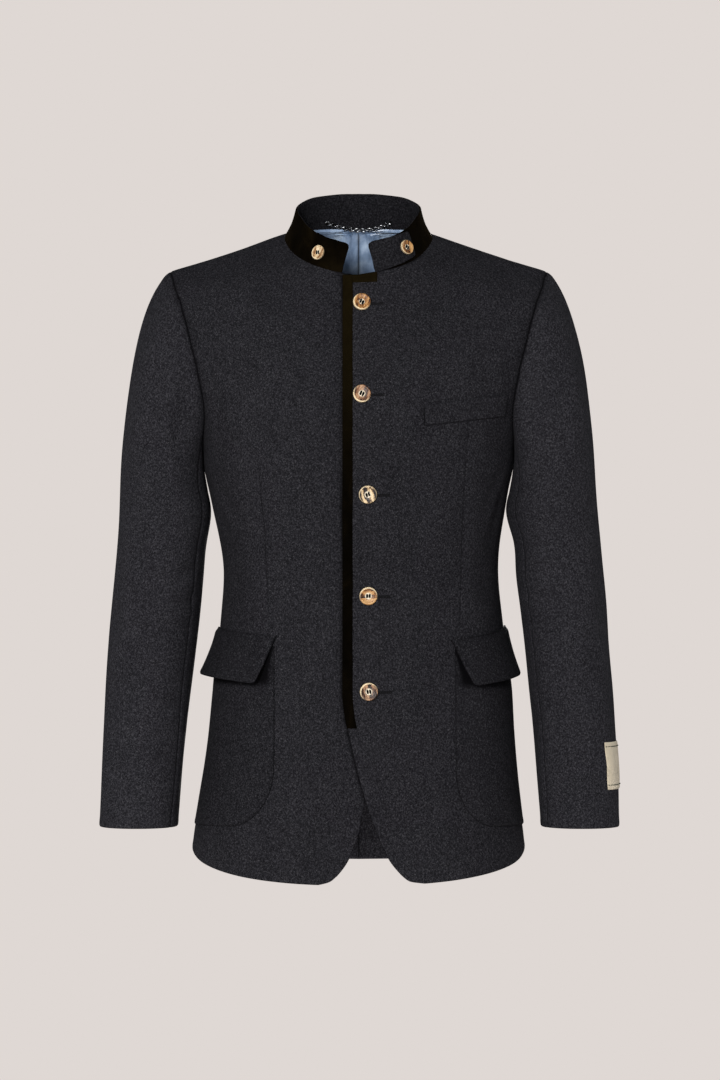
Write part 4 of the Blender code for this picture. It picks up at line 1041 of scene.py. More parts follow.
def welt():
    (a0, z0), (a1, z1), (a2, z2), (a3, z3) = WELT
    c = spread(0, WELT_WIDE, 3.0, FINE, FINE) / WELT_WIDE
    w = spread(0, WELT_TALL, 1.6, FINE, FINE) / WELT_TALL
    u, v = np.meshgrid(c, w)
    a = (a0 + (a1 - a0) * u) * (1 - v) + (a3 + (a2 - a3) * u) * v
    z = (z0 + (z1 - z0) * u) * (1 - v) + (z3 + (z2 - z3) * u) * v
    d = np.minimum(np.minimum(u, 1 - u) * WELT_WIDE, v * WELT_TALL)
    d = np.minimum(d, (1 - v) * WELT_TALL)
    # painted shade along the welt's edges, heaviest along its inner end and its lower edge
    line = np.maximum(0.85 * bell(u * WELT_WIDE, 1.2) * smooth((1 - v) / 0.3 + 0.3),
                      0.75 * bell(v * WELT_TALL, 1.1) * smooth((1 - u) * 6))
    line = np.maximum(line, 0.12 * bell(d, 1.0))
    lay("chest_welt", "left", a, z, d, 0.15 * np.sin(u * 9), line)


for word in ("left", "right"):
    pocket(word)
    flap(word)
welt()


# ------------------------------------------------------------------ velvet trims
TRIM_TOP, TRIM_LOW = -48.3, -566.5


def trim_front():
    z = spread(TRIM_TOP, TRIM_LOW, 3.0, FINE, FINE)
    off = np.array([-0.5, -0.3, 0.2, 0.9, 2.0, 4.0, 6.0, 8.0, 9.6, 10.5, TRIM_WIDE])
    zz, oo = np.meshgrid(z, off, indexing="ij")
    a0 = np.array([float(piecewise(edges["z"], edges["left"], q)) for q in z])[:, None]
    wob = 0.12 * np.sin(zz / 17) + 0.1 * np.sin(zz / 7.3)
    p, n = face["left"].at(a0 + oo + np.where(oo > 5, wob, 0), zz)
    d = np.minimum(np.minimum(oo + 0.5, TRIM_WIDE - oo),
                   np.minimum(np.abs(zz - TRIM_TOP), np.abs(zz - TRIM_LOW)))
    t = TRIM * (1 - 0.7 * bell(d, 0.7)) + 0.12 * np.sin(zz / 5.0) * np.sin(oo)
    cover("trim_front", p, n, t)


def neck_line():
    """Top edge of the left front as (distance, height), past the centre line too."""
    v0 = body.v_neck_front
    a = np.linspace(-17.6, 0, 8)
    pts = [(x, row_at(v0, np.array([x]))[0, 2]) for x in a]
    for v in np.linspace(v0 + 0.5, v0 + 40, 30):
        s = body.neck(v) * body.length(v)
        pts.append((s, row_at(v, np.array([s]))[0, 2]))
    pts.sort()
    return np.array(pts)


NECK_LINE = neck_line()


def trim_neck():
    a = spread(TRIM_WIDE - 17.55, 21.5, 1.6, FINE, FINE)
    top_z = np.interp(a, NECK_LINE[:, 0], NECK_LINE[:, 1]) - 0.2
    low_z = -57.5 + (a - a[0]) * (1.0 / 27.5)
    w = spread(0, 10, 1.0, FINE, FINE) / 10
    z = low_z[None, :] + (top_z - low_z)[None, :] * w[:, None]
    aa = np.broadcast_to(a, z.shape)
    p, n = face["left"].at(aa, z)
    d = np.minimum(np.minimum(aa - a[0], a[-1] - aa), np.minimum(w, 1 - w)[:, None] * 10)
    t = TRIM * (1 - 0.7 * bell(d, 0.7))
    cover("trim_neck", p, n, t)


trim_front()
trim_neck()

# ------------------------------------------------------------------ stand collar
COLLAR_COLUMNS = "part rise lean"
COLLAR = table(COLLAR_COLUMNS, [(0.0, 32.5, 7.0), (0.2, 36.0, 8.5), (0.4, 36.5, 12.0),
                                (0.52, 33.0, 13.5), (0.75, 38.5, 12.0), (1.0, 42.0, 10.5)])
COLLAR_LIFT, COLLAR_END_LEAN, AXIS_Y = 0.5, 7.0, -2.0
COLLAR_TALL = 36
NECK_BACK_V = np.linspace(body.v_shoulder, body.v_neck_back, 26)


def half_ring(word):
    """The neck seam of one side, from its front end to centre back."""
    v0 = body.v_at_neck(20)
    fore = spread(v0, body.v_shoulder, 3.0, (0, 0.25, 0.6, 1.1, 1.8, 2.8, 4.0))
    vs = np.concatenate([fore, NECK_BACK_V[1:]])
    pts = []
    for v in vs:
        s = body.neck(v)
        size = body.length(v)
        p = body.point(v, s)
        p = p - body.normal(v, s) * float(under_lap(s * size, word)) * (v < body.v_shoulder)
        pts.append(p)
    pts = np.array(pts)
    pts[-1, 0] = 0.0
    return pts * MIRROR[word]


ring_r, ring_l = half_ring("right"), half_ring("left")


def ring_parts(ring):
    far = lengths(ring)
    return (far + 20.0) / (far[-1] + 20.0), far


part_r, far_r = ring_parts(ring_r)
part_l, far_l = ring_parts(ring_l)
ring = np.concatenate([ring_r, ring_l[::-1][1:]])
ring_part = np.concatenate([part_r, part_l[::-1][1:]])
end_far = np.concatenate([far_r, far_l[::-1][1:]])
end_way = np.concatenate([np.ones(len(far_r)), -np.ones(len(far_l) - 1)])
# soften where the two sides meet at the back
for _ in range(2):
    ring[1:-1] = ring[1:-1] * 0.6 + (ring[:-2] + ring[2:]) * 0.2


def collar_at(h, depth, uneven=0.0, round_end=4.5):
    """Points along the whole ring at a part h of the way up and a depth inward."""
    inward = unit(np.column_stack([-ring[:, 0], -(ring[:, 1] - AXIS_Y), np.zeros(len(ring))]))
    rise = np.array([piecewise(COLLAR["part"], COLLAR["rise"], q) for q in ring_part])
    lean = np.array([piecewise(COLLAR["part"], COLLAR["lean"], q) for q in ring_part])
    up = inward * lean[:, None]
    up[:, 2] = rise
    h = h + np.zeros(len(ring))
    m = unit(np.cross(np.cross(up, inward), up))
    x = np.clip((round_end - end_far) / round_end, 0, 1)
    h = h * (1 - round_end / COLLAR_TALL * (1 - np.sqrt(1 - x * x)))
    bulge = np.interp(ring_part, [0, 0.25, 0.45, 0.62, 0.8, 1.0], [1.2, 0.9, -1.4, -1.8, -0.4, 0.6])
    q = (ring + np.array([0, 0, COLLAR_LIFT]) + up * h[:, None]
         - m * (bulge * np.sin(math.pi * h))[:, None]
         + m * (depth + uneven + np.zeros(len(ring)))[:, None])
    q[:, 0] += end_way * COLLAR_END_LEAN * h * np.clip(1 - end_far / 21.0, 0, 1)
    return q


def collar_layer(name, near, far_side, face_out):
    hs = spread(0, COLLAR_TALL, 2.0, FINE, FINE) / COLLAR_TALL
    total = lengths(ring)
    along = np.minimum(total, total[-1] - total)
    outer, inner = [], []
    for h in hs:
        d_top = (1 - h) * COLLAR_TALL
        roll = 0.55 * bell(d_top, 0.8) + 0.5 * bell(along, 0.9)
        soft = 0.22 * np.sin(total / 13 + h * 3) + 0.18 * np.sin(total / 7.1 - h * 5)
        base_dip = 0.5 * bell(h * COLLAR_TALL, 1.6)
        tuck = 0.05 if face_out else 0.05 + 0.06 * smooth((ring_part - 0.5) / 0.25)
        hh = h - tuck * (1 - h) ** 3
        if face_out:
            outer.append(collar_at(hh, near, roll + base_dip + soft))
            inner.append(collar_at(hh, far_side))
        else:
            outer.append(collar_at(hh, near))
            inner.append(collar_at(hh, far_side, -roll + soft * 0.6))
    pieces[name] = shell(name, np.array(outer), np.array(inner))


collar_layer("collar_outer", 0.0, COLLAR_WALL, True)
collar_layer("collar_inner", COLLAR_WALL + GAP, 2 * COLLAR_WALL + GAP, False)

TAB_COLUMNS = "along low high"
TAB = table(TAB_COLUMNS, [(-1.8, -0.05, 0.985), (10, -0.01, 1.0), (24, 0.03, 1.0),
                          (38, 0.06, 0.975), (55, 0.10, 0.91)])
TAB_END, TAB_TALL = 55.0, 28
TAB_OUT, TAB_THICK = 0.5, 2.2


def along_left(d, h, depth):
    """A point of the collar at distance d from its left front end."""
    line = collar_at(h, depth)[::-1]
    far = lengths(line)
    if d < 0:
        return line[0] + unit(line[0] - line[1]) * -d
    return line_at(line, far, d)


def tab():
    ds = spread(-1.8, TAB_END, 2.0, FINE, FINE)
    ws = spread(0, TAB_TALL, 1.6, FINE, FINE) / TAB_TALL
    outer, inner = np.zeros((len(ds), len(ws), 3)), np.zeros((len(ds), len(ws), 3))
    for i, d in enumerate(ds):
        lo, hi = (float(piecewise(TAB["along"], TAB[c], d)) for c in ("low", "high"))
        e = TAB_END - d
        r = 3.5         # of the corners at its end
        cut = r * (1 - math.sqrt(max(1 - max((r - e) / r, 0) ** 2, 0))) / COLLAR_TALL
        for j, w in enumerate(ws):
            h = lo + cut + (hi - lo - 2 * cut) * w
            edge_d = min(w * TAB_TALL, (1 - w) * TAB_TALL, e, 9 if d > 2 else d + 1.8)
            t = TAB_THICK * (1 - 0.6 * math.exp(-(edge_d / 1.0) ** 2))
            bow = 0.5 * math.sin(math.pi * min(max(d / 50, 0), 1)) * math.sin(math.pi * w)
            clear = TAB_OUT + 1.6 * math.exp(-(max(h, 0) / 0.09) ** 2)
            q = along_left(d, h, -clear)
            o = along_left(d, h, -clear - 1.0) - q
            inner[i, j] = q
            outer[i, j] = q + o * (t + bow)
    pieces["collar_tab"] = shell("collar_tab", outer, inner)


tab()

# ------------------------------------------------------------------ satin back lining
LINING_Z = -290


def lining(word):
    """The lining of one back, gathered toward the neck, on the inside of its wool."""
    g = grids["back_" + word]
    v_low = body.v_at_height(LINING_Z, True)
    vs = g["rows"]
    keep = int(np.searchsorted(vs, v_low))
    q, m, far = g["inner"][:keep], g["n"][:keep], g["far"][:keep]
    vs = vs[:keep]
    u = np.concatenate([np.linspace(0, 0.36, 56), np.linspace(0.36, 1, 32)[1:]])
    at = [f[0] + (f[-1] - f[0]) * u for f in far]
    q, m = (np.array([line_at(row, f, x) for x, f, row in zip(at, far, rows)]) for rows in (q, m))
    far = np.array(at)
    m = unit(m)
    z = q[..., 2]
    r = 3 if word == "left" else 4
    start = far[:, :1]
    gather = bell(z - 2, 26) * smooth(far / 8)
    soft = smooth(far / 12) * smooth(-(z - 12) / 60)
    crinkle = (0.35 * waves(far * 2.2, z * 0.6, 60 + r)
               + 0.5 * np.sin(far / 8.0 + 2.4 * np.sin(z / 60) + r) * soft
               + 0.9 * gather * np.sin(far / 4.1 + 1.7 * np.sin(z / 13) + r))
    seamed = (vs > body.v_neck_back)[:, None]
    x = np.abs(q[..., 0])
    fan = x * (1 + (z - 24) * 0.007)
    pull = bell(np.clip(20.0 - z, 0, None), 19) * smooth(x / 5) * (1 - smooth((x - 52) / 20))
    pull = pull * np.where(seamed, 1.0, smooth(far / 3.0))
    crinkle = crinkle + pull * (0.95 * np.sin(fan / 1.05 + 1.3 * np.sin(fan / 6.3 + r))
                                + 0.40 * np.sin(fan / 0.78 + 2.0 * np.sin(fan / 9.1)))
    broad = bell(far - 13, 10) * bell(z + 6, 26)
    crinkle = np.clip(crinkle, -0.95, 1.7) + 1.3 * broad
    dip = np.where(seamed, 0.9 * bell(far, 1.2), 0.0)
    back = q - m * (GAP + 0.1)
    front = back - m * (1.2 - dip + crinkle)[..., None]
    on_edge = vs <= body.v_neck_back
    # near the neck's edge it fills out to the collar
    from_neck = np.min(np.hypot(vs[:, None, None] - vs[on_edge],
                                far[..., None] - start[on_edge, 0]), axis=-1)
    inward = unit(np.stack([-q[..., 0], AXIS_Y - q[..., 1], np.zeros(z.shape)], axis=-1))
    front = front + inward * (2.3 * bell(from_neck, 8.5))[..., None]
    back, front = back[:, :-1], front[:, :-1]
    # the top edge turns up behind the collar's wool
    ring_side = ring_r if word == "right" else ring_l
    lead = []
    first = len(ring_side) - len(NECK_BACK_V)
    for depth, h in ((2 * COLLAR_WALL + GAP + 1.1, -0.05), (2 * COLLAR_WALL + GAP + 0.4, 0.015)):
        line = collar_at(h, depth)
        line = (line if word == "right" else line[::-1])[first:len(ring_side)]
        lead.append(line_at(line, NECK_BACK_V, vs))
    out_way = unit(np.column_stack([lead[0][:, 0], lead[0][:, 1] - AXIS_Y, np.zeros(len(vs))]))
    behind = [(lead[1] + out_way * 0.3)[:, None], (lead[0] + out_way * 0.7)[:, None]]
    front = np.concatenate([lead[1][:, None], lead[0][:, None], front], axis=1)
    back = np.concatenate(behind + [back], axis=1)
    mask = np.ones(front.shape[:2], bool)
    mask[vs > body.v_neck_back + 0.01, :2] = False
    painted_light_shade_and_seams = np.zeros(front.shape[:2])
    # a dark line at the centre back seam, and painted shade in the troughs of the gathers
    painted_light_shade_and_seams[:, 2:] = (seamed * 0.70 * bell(far, 0.7) + 0.5 * pull * np.clip(-crinkle, 0, 1))[:, :-1]
    pieces["lining_" + word] = shell("lining_" + word, front, back, mask, painted_light_shade_and_seams)


lining("left")
lining("right")

# ------------------------------------------------------------------ buttons
FRONT_BUTTON, COLLAR_BUTTON = 10.3, 8.6
BUTTON_SPOTS = [("button_front_1", 3.8, -81.5, 68), ("button_front_2", 4.0, -187.3, 64),
                ("button_front_3", 10.6, -301.5, 108), ("button_front_4", 11.2, -416.5, 90),
                ("button_front_5", 11.8, -525, 99)]
# Half of a button's cut: part of its radius, and height.
LATHE = [(0.0, 0.0), (0.3, 0.0), (0.84, 0.0), (0.92, 0.25), (0.985, 0.8), (1.0, 1.5),
         (0.995, 2.2), (0.97, 2.75), (0.92, 3.08), (0.86, 3.2), (0.8, 3.14), (0.74, 2.92),
         (0.67, 2.62), (0.58, 2.42), (0.48, 2.32), (0.36, 2.26), (0.22, 2.24), (0.1, 2.23),
         (0.0, 2.23)]


def bands(rings, sides):
    """Faces between rings of points, the last one joined to the first."""
    return [(i * sides + j, i * sides + (j + 1) % sides,
             (i + 1) % rings * sides + (j + 1) % sides, (i + 1) % rings * sides + j)
            for i in range(rings) for j in range(sides)]


def tube(line, r, sides=8, squash=1.0, lift=(0, 0, 1.0)):
    """Points and faces of a rounded bar along a line."""
    line = np.array(line, float)
    pts, n = [], len(line)
    for k in range(n):
        t = unit(line[min(k + 1, n - 1)] - line[max(k - 1, 0)])
        a = unit(np.cross(t, lift))
        b = np.cross(a, t)
        rr = r * (math.sqrt(max(1 - (2 * k / (n - 1) - 1) ** 6, 0.05)))
        for q in range(sides):
            w = q * 2 * math.pi / sides
            pts.append(line[k] + a * math.cos(w) * rr + b * math.sin(w) * rr * squash)
    faces = bands(n, sides)[:(n - 1) * sides]
    faces += [tuple(reversed(range(sides))), tuple((n - 1) * sides + q for q in range(sides))]
    return pts, faces


def join(parts):
    """Several sets of points and faces as one."""
    pts, faces = [], []
    for p, f in parts:
        k = len(pts)
        pts += list(p)
        faces += [tuple(i + k for i in q) for q in f]
    return pts, faces


extra = {}


def button(name, spot, out, radius, thick, turn, seed, collar=False):
    """A turned button whose back lies at spot and whose face looks along out."""
    out = unit(out)
    side_way = unit(np.cross([0, 0, 1.0], out))
    up = np.cross(out, side_way)
    r = np.random.default_rng(seed)
    n, pts = 56, []
    a = np.arange(n) * 2 * math.pi / n
    wob = 1 + 0.008 * np.sin(2 * a + r.uniform(0, 6)) + 0.005 * np.sin(3 * a + r.uniform(0, 6))
    for q, h in LATHE[1:-1]:
        for k in range(n):
            hh = h * thick + (0.05 * math.sin(a[k] * 2 + seed) if h > 2 else 0)
            ray = side_way * math.cos(a[k]) + up * math.sin(a[k])
            pts.append(spot + ray * radius * min(q * wob[k], 1.0) + out * (GAP + hh))
    m = len(LATHE) - 2
    faces = bands(m, n)[:(m - 1) * n]
    pts += [spot + out * GAP, spot + out * (GAP + 2.23 * thick)]
    for k in range(n):
        faces.append((len(pts) - 2, (k + 1) % n, k))
        faces.append((len(pts) - 1, (m - 1) * n + k, (m - 1) * n + (k + 1) % n))
    pieces[name] = mesh_piece(name, pts, faces, 60)
    # two bars of thread, each with a stub of it down both holes
    c, s = math.cos(math.radians(turn)), math.sin(math.radians(turn))
    ax, ay = side_way * c + up * s, -side_way * s + up * c
    top = spot + out * (GAP + 2.2 * thick)
    bars, k = [], 0.92 if collar else 1.0
    for side in (-1, 1):
        arc = [top + ay * 1.46 * k * side + ax * (2.3 * k * t) + out * (0.10 + 0.42 * (1 - t * t))
               for t in np.linspace(-1, 1, 9)]
        bars.append(tube(arc, 1.22 * k, 10, 0.62, tuple(out)))
        for t in (-1, 1):
            c0 = top + ay * 1.48 * k * side + ax * 2.25 * k * t
            stub = [c0 - out * 0.6, c0 + out * 0.02, c0 + out * 0.08]
            bars.append(tube(stub, 1.0 * k, 10, 1.0, tuple(ay)))
    sewn = name.replace("button", "thread")
    extra[sewn] = mesh_piece(sewn, *join(bars))


def front_spot(x, z):
    v = body.v_at_height(z)
    s = x / body.length(v)
    return body.point(v, s), body.normal(v, s)


for k, (name, x, z, turn) in enumerate(BUTTON_SPOTS):
    p, m = front_spot(x, z)
    if k == 0:
        # the top one hangs forward on its thread, off the slope of the chest
        p, m = p + m * 1.3, unit(m * np.array([1, 1, 0.62]))
    button(name, p, m, FRONT_BUTTON, 1.0, turn, 20 + k)


def node_disc(name):
    """Centre of the back of a button node and the way it faces."""
    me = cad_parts[name].data
    v = np.array([q.co for q in me.vertices]) / MM
    c = v.mean(axis=0)
    _, _, vt = np.linalg.svd(v - c, full_matrices=False)
    out = vt[2] if vt[2][1] < 0 else -vt[2]
    return c - out * (np.max((v - c) @ -out)), out


for name, turn, seed, aside in (("button_collar_right", 104, 31, -0.30),
                                ("button_collar_left", 62, 32, 0.14)):
    p, m = node_disc(name)
    # each sits a little loose on its thread, turned with the collar's own curve
    p, m = p + m * abs(aside) * 3.0, unit(m + np.array([aside, 0, 0]))
    button(name, p - m * GAP, m, COLLAR_BUTTON, 0.85, turn, seed, True)


# ------------------------------------------------------------------ buttonholes
def buttonhole(name, a0, a1, z):
    """A keyless buttonhole of the left front: two raised lips of close stitches."""
    a = spread(a0, a1, 0.7, (0, 0.3), (0, 0.3))
    w = np.linspace(-1.6, 1.6, 13)
    aa, ww = np.meshgrid(a, w)
    p, n = face["left"].at(aa, z + ww + 0.25 * np.sin(aa / 4))
    end = np.minimum(aa - a[0], a[-1] - aa)
    lips = 0.55 * bell(np.abs(ww) - 0.85, 0.45) * np.clip(end / 1.2, 0, 1) ** 0.5
    teeth = 0.08 * np.sin(aa * 7.0)
    low = p - n * 0.1
    top = p + n * (lips + teeth * (np.abs(ww) < 1.3) + 0.02 - 0.1 * (np.abs(ww) > 1.4))[..., None]
    extra[name] = shell(name, top, low)


HOLES = [(14.0, -82.5), (14.6, -188.3), (21.2, -302.5), (21.8, -417.5), (22.4, -526)]
for k, (a, z) in enumerate(HOLES):
    buttonhole("buttonhole_%d" % (k + 1), a, a + 15, z)


# ------------------------------------------------------------------ hanger chain
CHAIN_HALF, CHAIN_SAG, CHAIN_Z = 38.0, 8.0, 22.0
LINKS = 22


def chain():
    inner = collar_at(0.18, 2 * COLLAR_WALL + GAP)[30:-30]
    inner = inner[np.argsort(inner[:, 0])]

    def at(x):
        y = np.interp(x, inner[:, 0], inner[:, 1]) - 2.0 - 0.45
        sag = CHAIN_SAG * (1 - (x / CHAIN_HALF) ** 2) * (1 + 0.2 * x / CHAIN_HALF)
        return np.array([x, y, CHAIN_Z - sag])

    line = np.array([at(x) for x in np.linspace(-CHAIN_HALF, CHAIN_HALF, 200)])
    far = lengths(line)
    pitch = far[-1] / LINKS
    parts = []
    for k in range(LINKS):
        a, mid, b = (line_at(line, far, (k + part) * pitch) for part in (0.4, 0.5, 0.6))
        t = unit(b - a)
        side_way = unit(np.cross(t, [0, -1.0, 0.25]))
        other = np.cross(t, side_way)
        ang = math.radians(38 + 90 * (k % 2))
        w = side_way * math.cos(ang) + other * math.sin(ang)
        nrm = np.cross(t, w)
        long, broad, r = pitch * 0.78, 2.75, 0.66
        pts, n, sides = [], 20, 7
        for i in range(n):
            q = 2 * math.pi * i / n
            c = mid + t * long * math.cos(q) + w * (broad - r) * math.sin(q)
            rad = unit(t * math.cos(q) * broad + w * math.sin(q) * long)
            for j in range(sides):
                s = 2 * math.pi * j / sides
                pts.append(c + (rad * math.cos(s) + nrm * math.sin(s)) * r)
        parts.append((pts, bands(n, sides)))
    pieces["hanger_chain"] = mesh_piece("hanger_chain", *join(parts))
    # each end is tacked to the seam by a few turns of dark thread
    for k, x in enumerate((-CHAIN_HALF + 0.4, CHAIN_HALF - 0.4)):
        c = at(x)
        turns = []
        for s in (-0.9, 0.0, 0.9):
            loop = [c + np.array([s, 2.4, 0]) + np.array([0, -3.6 * math.sin(q), 2.3 * math.cos(q)])
                    for q in np.linspace(0.0, math.pi, 9)]
            turns.append(tube(loop, 0.42, 7, 1.0, (1.0, 0, 0)))
        name = "chain_tack_%d" % (k + 1)
        extra[name] = mesh_piece(name, *join(turns))


chain()

# ------------------------------------------------------------------ sleeve label
LABEL_TOP, LABEL_LOW, LABEL_WIDE = -586.4, -640.6, 68.5
STITCH, STITCH_PITCH = 2.9, 4.1


def label():
    """The label near the left cuff, wrapped round the sleeve, with two rows of green stitches."""
    zs = spread(LABEL_LOW, LABEL_TOP, 1.5, FINE, FINE)
    arcs = spread(0.0, LABEL_WIDE, 1.5, FINE, FINE)
    degs = grids["sleeve_left_upper"]["degs"] - 360
    outside = np.abs(degs) < 75
    degs = degs[outside]
    columns = [col[np.argsort(col[:, 2])] for col in grids["sleeve_left_upper"]["outer"][outside]]
    pts = np.zeros((len(zs), len(arcs), 3))
    for i, z in enumerate(zs):
        round_line = np.array([line_at(col, col[:, 2], z) for col in columns])
        far = lengths(round_line)
        far = far - np.interp(0, degs, far)
        left = -24.0 - 3.2 * (LABEL_TOP - z) / 54.2 + 0.5 * math.sin(z / 6.0)
        pts[i] = line_at(round_line, far, arcs + left)
    n = grid_normals(pts, sleeve_axis(1))
    aa, zz = np.meshgrid(arcs, zs)
    d = np.minimum(np.minimum(aa, LABEL_WIDE - aa), np.minimum(zz - LABEL_LOW, LABEL_TOP - zz))
    t = 1 - 0.6 * bell(d, 0.6) + 0.35 * np.sin(aa / 4.6 + 1.0) * np.cos((zz + 613) / 26) ** 2
    top = cover("sleeve_label", pts, n, t)
    bars = []
    for z in (-591.4, -635.2):
        i = int(np.argmin(np.abs(zs - z)))
        far = lengths(top[i])
        q = 1.6
        while q < far[-1] - 2.0:
            x = np.linspace(q, q + STITCH, 7)
            lift = 0.12 + 0.22 * np.sin(math.pi * (x - q) / STITCH)
            seg = line_at(top[i], far, x) + line_at(n[i], far, x) * lift[:, None]
            bars.append(tube(seg, 0.62, 7, 0.7, (0.2, 0.1, 1.0)))
            q += STITCH_PITCH
    extra["label_stitches"] = mesh_piece("label_stitches", *join(bars))


label()


# ------------------------------------------------------------------ materials
def fill(made, values):
    """Each input of a node takes a number, a colour or another node's socket."""
    for key, value in dict(values).items():
        socket = made.inputs[key]
        if isinstance(value, bpy.types.NodeSocket):
            made.id_data.links.new(value, socket)
        elif socket.type == "RGBA":
            socket.default_value = tuple(value) + (1.0,)
        else:
            socket.default_value = value


def node(tree, kind, values=(), **settings):
    made = tree.nodes.new("ShaderNode" + kind)
    for key, value in settings.items():
        setattr(made, key, value)
    fill(made, values)
    return made


class Look:
    """A material's nodes. Most helpers give back the socket that they end in."""

    def __init__(self, name):
        self.material = bpy.data.materials.new(name)
        self.material.use_nodes = True
        self.material.node_tree.nodes.clear()
        self.skin = self.node("BsdfPrincipled")
        self.node("OutputMaterial", {0: self.skin.outputs[0]})
        self.place = self.node("TexCoord").outputs["Object"]

    def node(self, kind, values=(), **settings):
        return node(self.material.node_tree, kind, values, **settings)

    def mapped(self, size=(1, 1, 1), turn=(0, 0, 0)):
        return self.node("Mapping", {"Scale": size, "Rotation": [math.radians(q) for q in turn],
                                     "Vector": self.place}).outputs[0]

    def noise(self, vec, scale, detail=2.0, rough=0.5, distort=0.0):
        return self.node("TexNoise", {"Scale": scale, "Detail": detail, "Roughness": rough,
                                      "Distortion": distort, "Vector": vec}).outputs["Fac"]

    def wave(self, vec, way, scale, distort):
        return self.node("TexWave", {"Scale": scale, "Distortion": distort, "Vector": vec},
                         wave_type="BANDS", bands_direction=way).outputs["Fac"]

    def ramp(self, fac, stops):
        r = self.node("ValToRGB", {0: fac})
        e = r.color_ramp.elements
        while len(e) < len(stops):
            e.new(0.5)
        for el, (pos, col) in zip(e, stops):
            el.position = pos
            el.color = tuple(col) + (1.0,)
        return r.outputs[0]

    def grey(self, fac, *stops):
        return self.ramp(fac, [(pos, (level,) * 3) for pos, level in stops])

    def mixed(self, fac, a, b, kind="MIX"):
        return self.node("Mix", {0: fac, 6: a, 7: b}, data_type="RGBA", blend_type=kind).outputs[2]

    def maths(self, kind, a, b=0.0, clamp=False):
        return self.node("Math", {0: a, 1: b}, operation=kind, use_clamp=clamp).outputs[0]

    def painted_light_shade_and_seams_input(self):
        return self.node("Attribute", attribute_name="painted_light_shade_and_seams").outputs["Fac"]

    def part_of(self, centre, radius):
        """Distance from a place, as a part of a radius."""
        far = self.node("VectorMath", {0: self.place, 1: centre}, operation="DISTANCE")
        return self.maths("DIVIDE", far.outputs["Value"], radius)

    def done(self, col, rough, specular=None, sheen=(), bumps=()):
        """The surface. rough is a number, or the socket it follows with its least and its most."""
        if isinstance(rough, tuple):
            by, least, most = rough
            rough = self.node("MapRange", {"Value": by, "To Min": least, "To Max": most}).outputs[0]
        fill(self.skin, {"Base Color": col, "Roughness": rough})
        fill(self.skin, zip(("Sheen Weight", "Sheen Roughness", "Sheen Tint"), sheen))
        if specular is not None:
            fill(self.skin, {"Specular IOR Level": specular})
        normal = {}
        for height, strength, far in bumps:
            values = {"Height": height, "Strength": strength, "Distance": far} | normal
            bump = self.node("Bump", values)
            normal = {"Normal": bump.outputs[0]}
        fill(self.skin, normal)
        return self.material


def toned(tone, stops):
    return [(pos, [c * tone for c in col]) for pos, col in stops]


def loden(name, tone=1.0, seed=0.0, fleck=1.0):
    """Fulled melange wool: dark and light fibres matted both ways, a short nap laid downward."""
    k = Look(name)
    fine_a = k.noise(k.mapped((1.0, 1.0, 0.50), (seed, 12, 0)), 1250, 3, 0.7)
    fine_b = k.noise(k.mapped((0.5, 0.5, 1.0), (0, -17, seed)), 1050, 3, 0.7)
    clump = k.noise(k.mapped((1, 1, 0.8), (seed, 0, 25)), 560, 3, 0.65)
    nap = k.noise(k.mapped((1, 1, 0.5)), 34, 4, 0.6)
    wide = k.noise(k.mapped((1, 1, 0.6), (0, seed, 0)), 4.5, 2, 0.5)
    fibres = k.mixed(0.5, fine_a, fine_b)
    col = k.ramp(k.mixed(0.50, fibres, clump), toned(tone, [
        (0.37, (0.0042, 0.0041, 0.0048)), (0.50, (0.0142, 0.0139, 0.0165)),
        (0.63, (0.0450, 0.0442, 0.0505))]))
    shade = k.ramp(k.maths("ADD", k.maths("MULTIPLY", nap, 0.6), k.maths("MULTIPLY", wide, 0.4)),
                   [(0.33, (0.84, 0.84, 0.85)), (0.67, (1.12, 1.12, 1.12))])
    col = k.mixed(1.0, col, shade, "MULTIPLY")
    spot = k.grey(k.noise(k.mapped((1, 1, 1), (33, 41, 7)), 640, 1, 0.4), (0.65, 0), (0.73, 1))
    col = k.mixed(k.maths("MULTIPLY", spot, 0.45 * fleck), col, (0.085, 0.084, 0.090))
    # seam lines and painted shade go toward near black; below nought the attribute paints light, up
    # to 2.3 times as bright
    painted_light_shade_and_seams = k.painted_light_shade_and_seams_input()
    painted_light = k.maths("MULTIPLY", painted_light_shade_and_seams, -1.0, True)
    col = k.mixed(painted_light, col, k.mixed(1.0, col, (2.3, 2.3, 2.3), "MULTIPLY"))
    col = k.mixed(painted_light_shade_and_seams, col, (0.0022, 0.0021, 0.0026))
    return k.done(col, (clump, 0.82, 1.0), 0.03, (0.008, 0.55, (0.85, 0.86, 0.95)),
                  [(fibres, 0.55, 0.0007), (clump, 0.35, 0.0011)])


def velvet(name, tone=1.0, high=False):
    """Short pile. With high it greys a little toward the neck."""
    k = Look(name)
    pile = k.noise(k.mapped(), 2600, 2, 0.6)
    crush = k.noise(k.mapped((1, 1, 0.6), (20, 0, 30)), 38, 3, 0.6, 0.6)
    worn = k.noise(k.mapped(), 140, 2, 0.5)
    col = k.ramp(k.mixed(0.4, crush, pile), toned(tone, [
        (0.35, (0.0012, 0.0008, 0.0003)), (0.52, (0.0030, 0.0020, 0.0008)),
        (0.70, (0.0090, 0.0060, 0.0022))]))
    if high:
        z = k.node("SeparateXYZ", {0: k.place}).outputs["Z"]
        up = k.node("MapRange", {"Value": z, "From Min": -0.30, "From Max": -0.09}).outputs[0]
        greyed = k.maths("MULTIPLY", up, k.maths("ADD", crush, 0.35))
        col = k.mixed(greyed, col, (0.0095, 0.0066, 0.0022))
    return k.done(col, (worn, 0.62, 0.95), 0.01, (0.045, 0.30, (0.60, 0.42, 0.20)),
                  [(pile, 0.4, 0.0004), (crush, 0.35, 0.0016)])


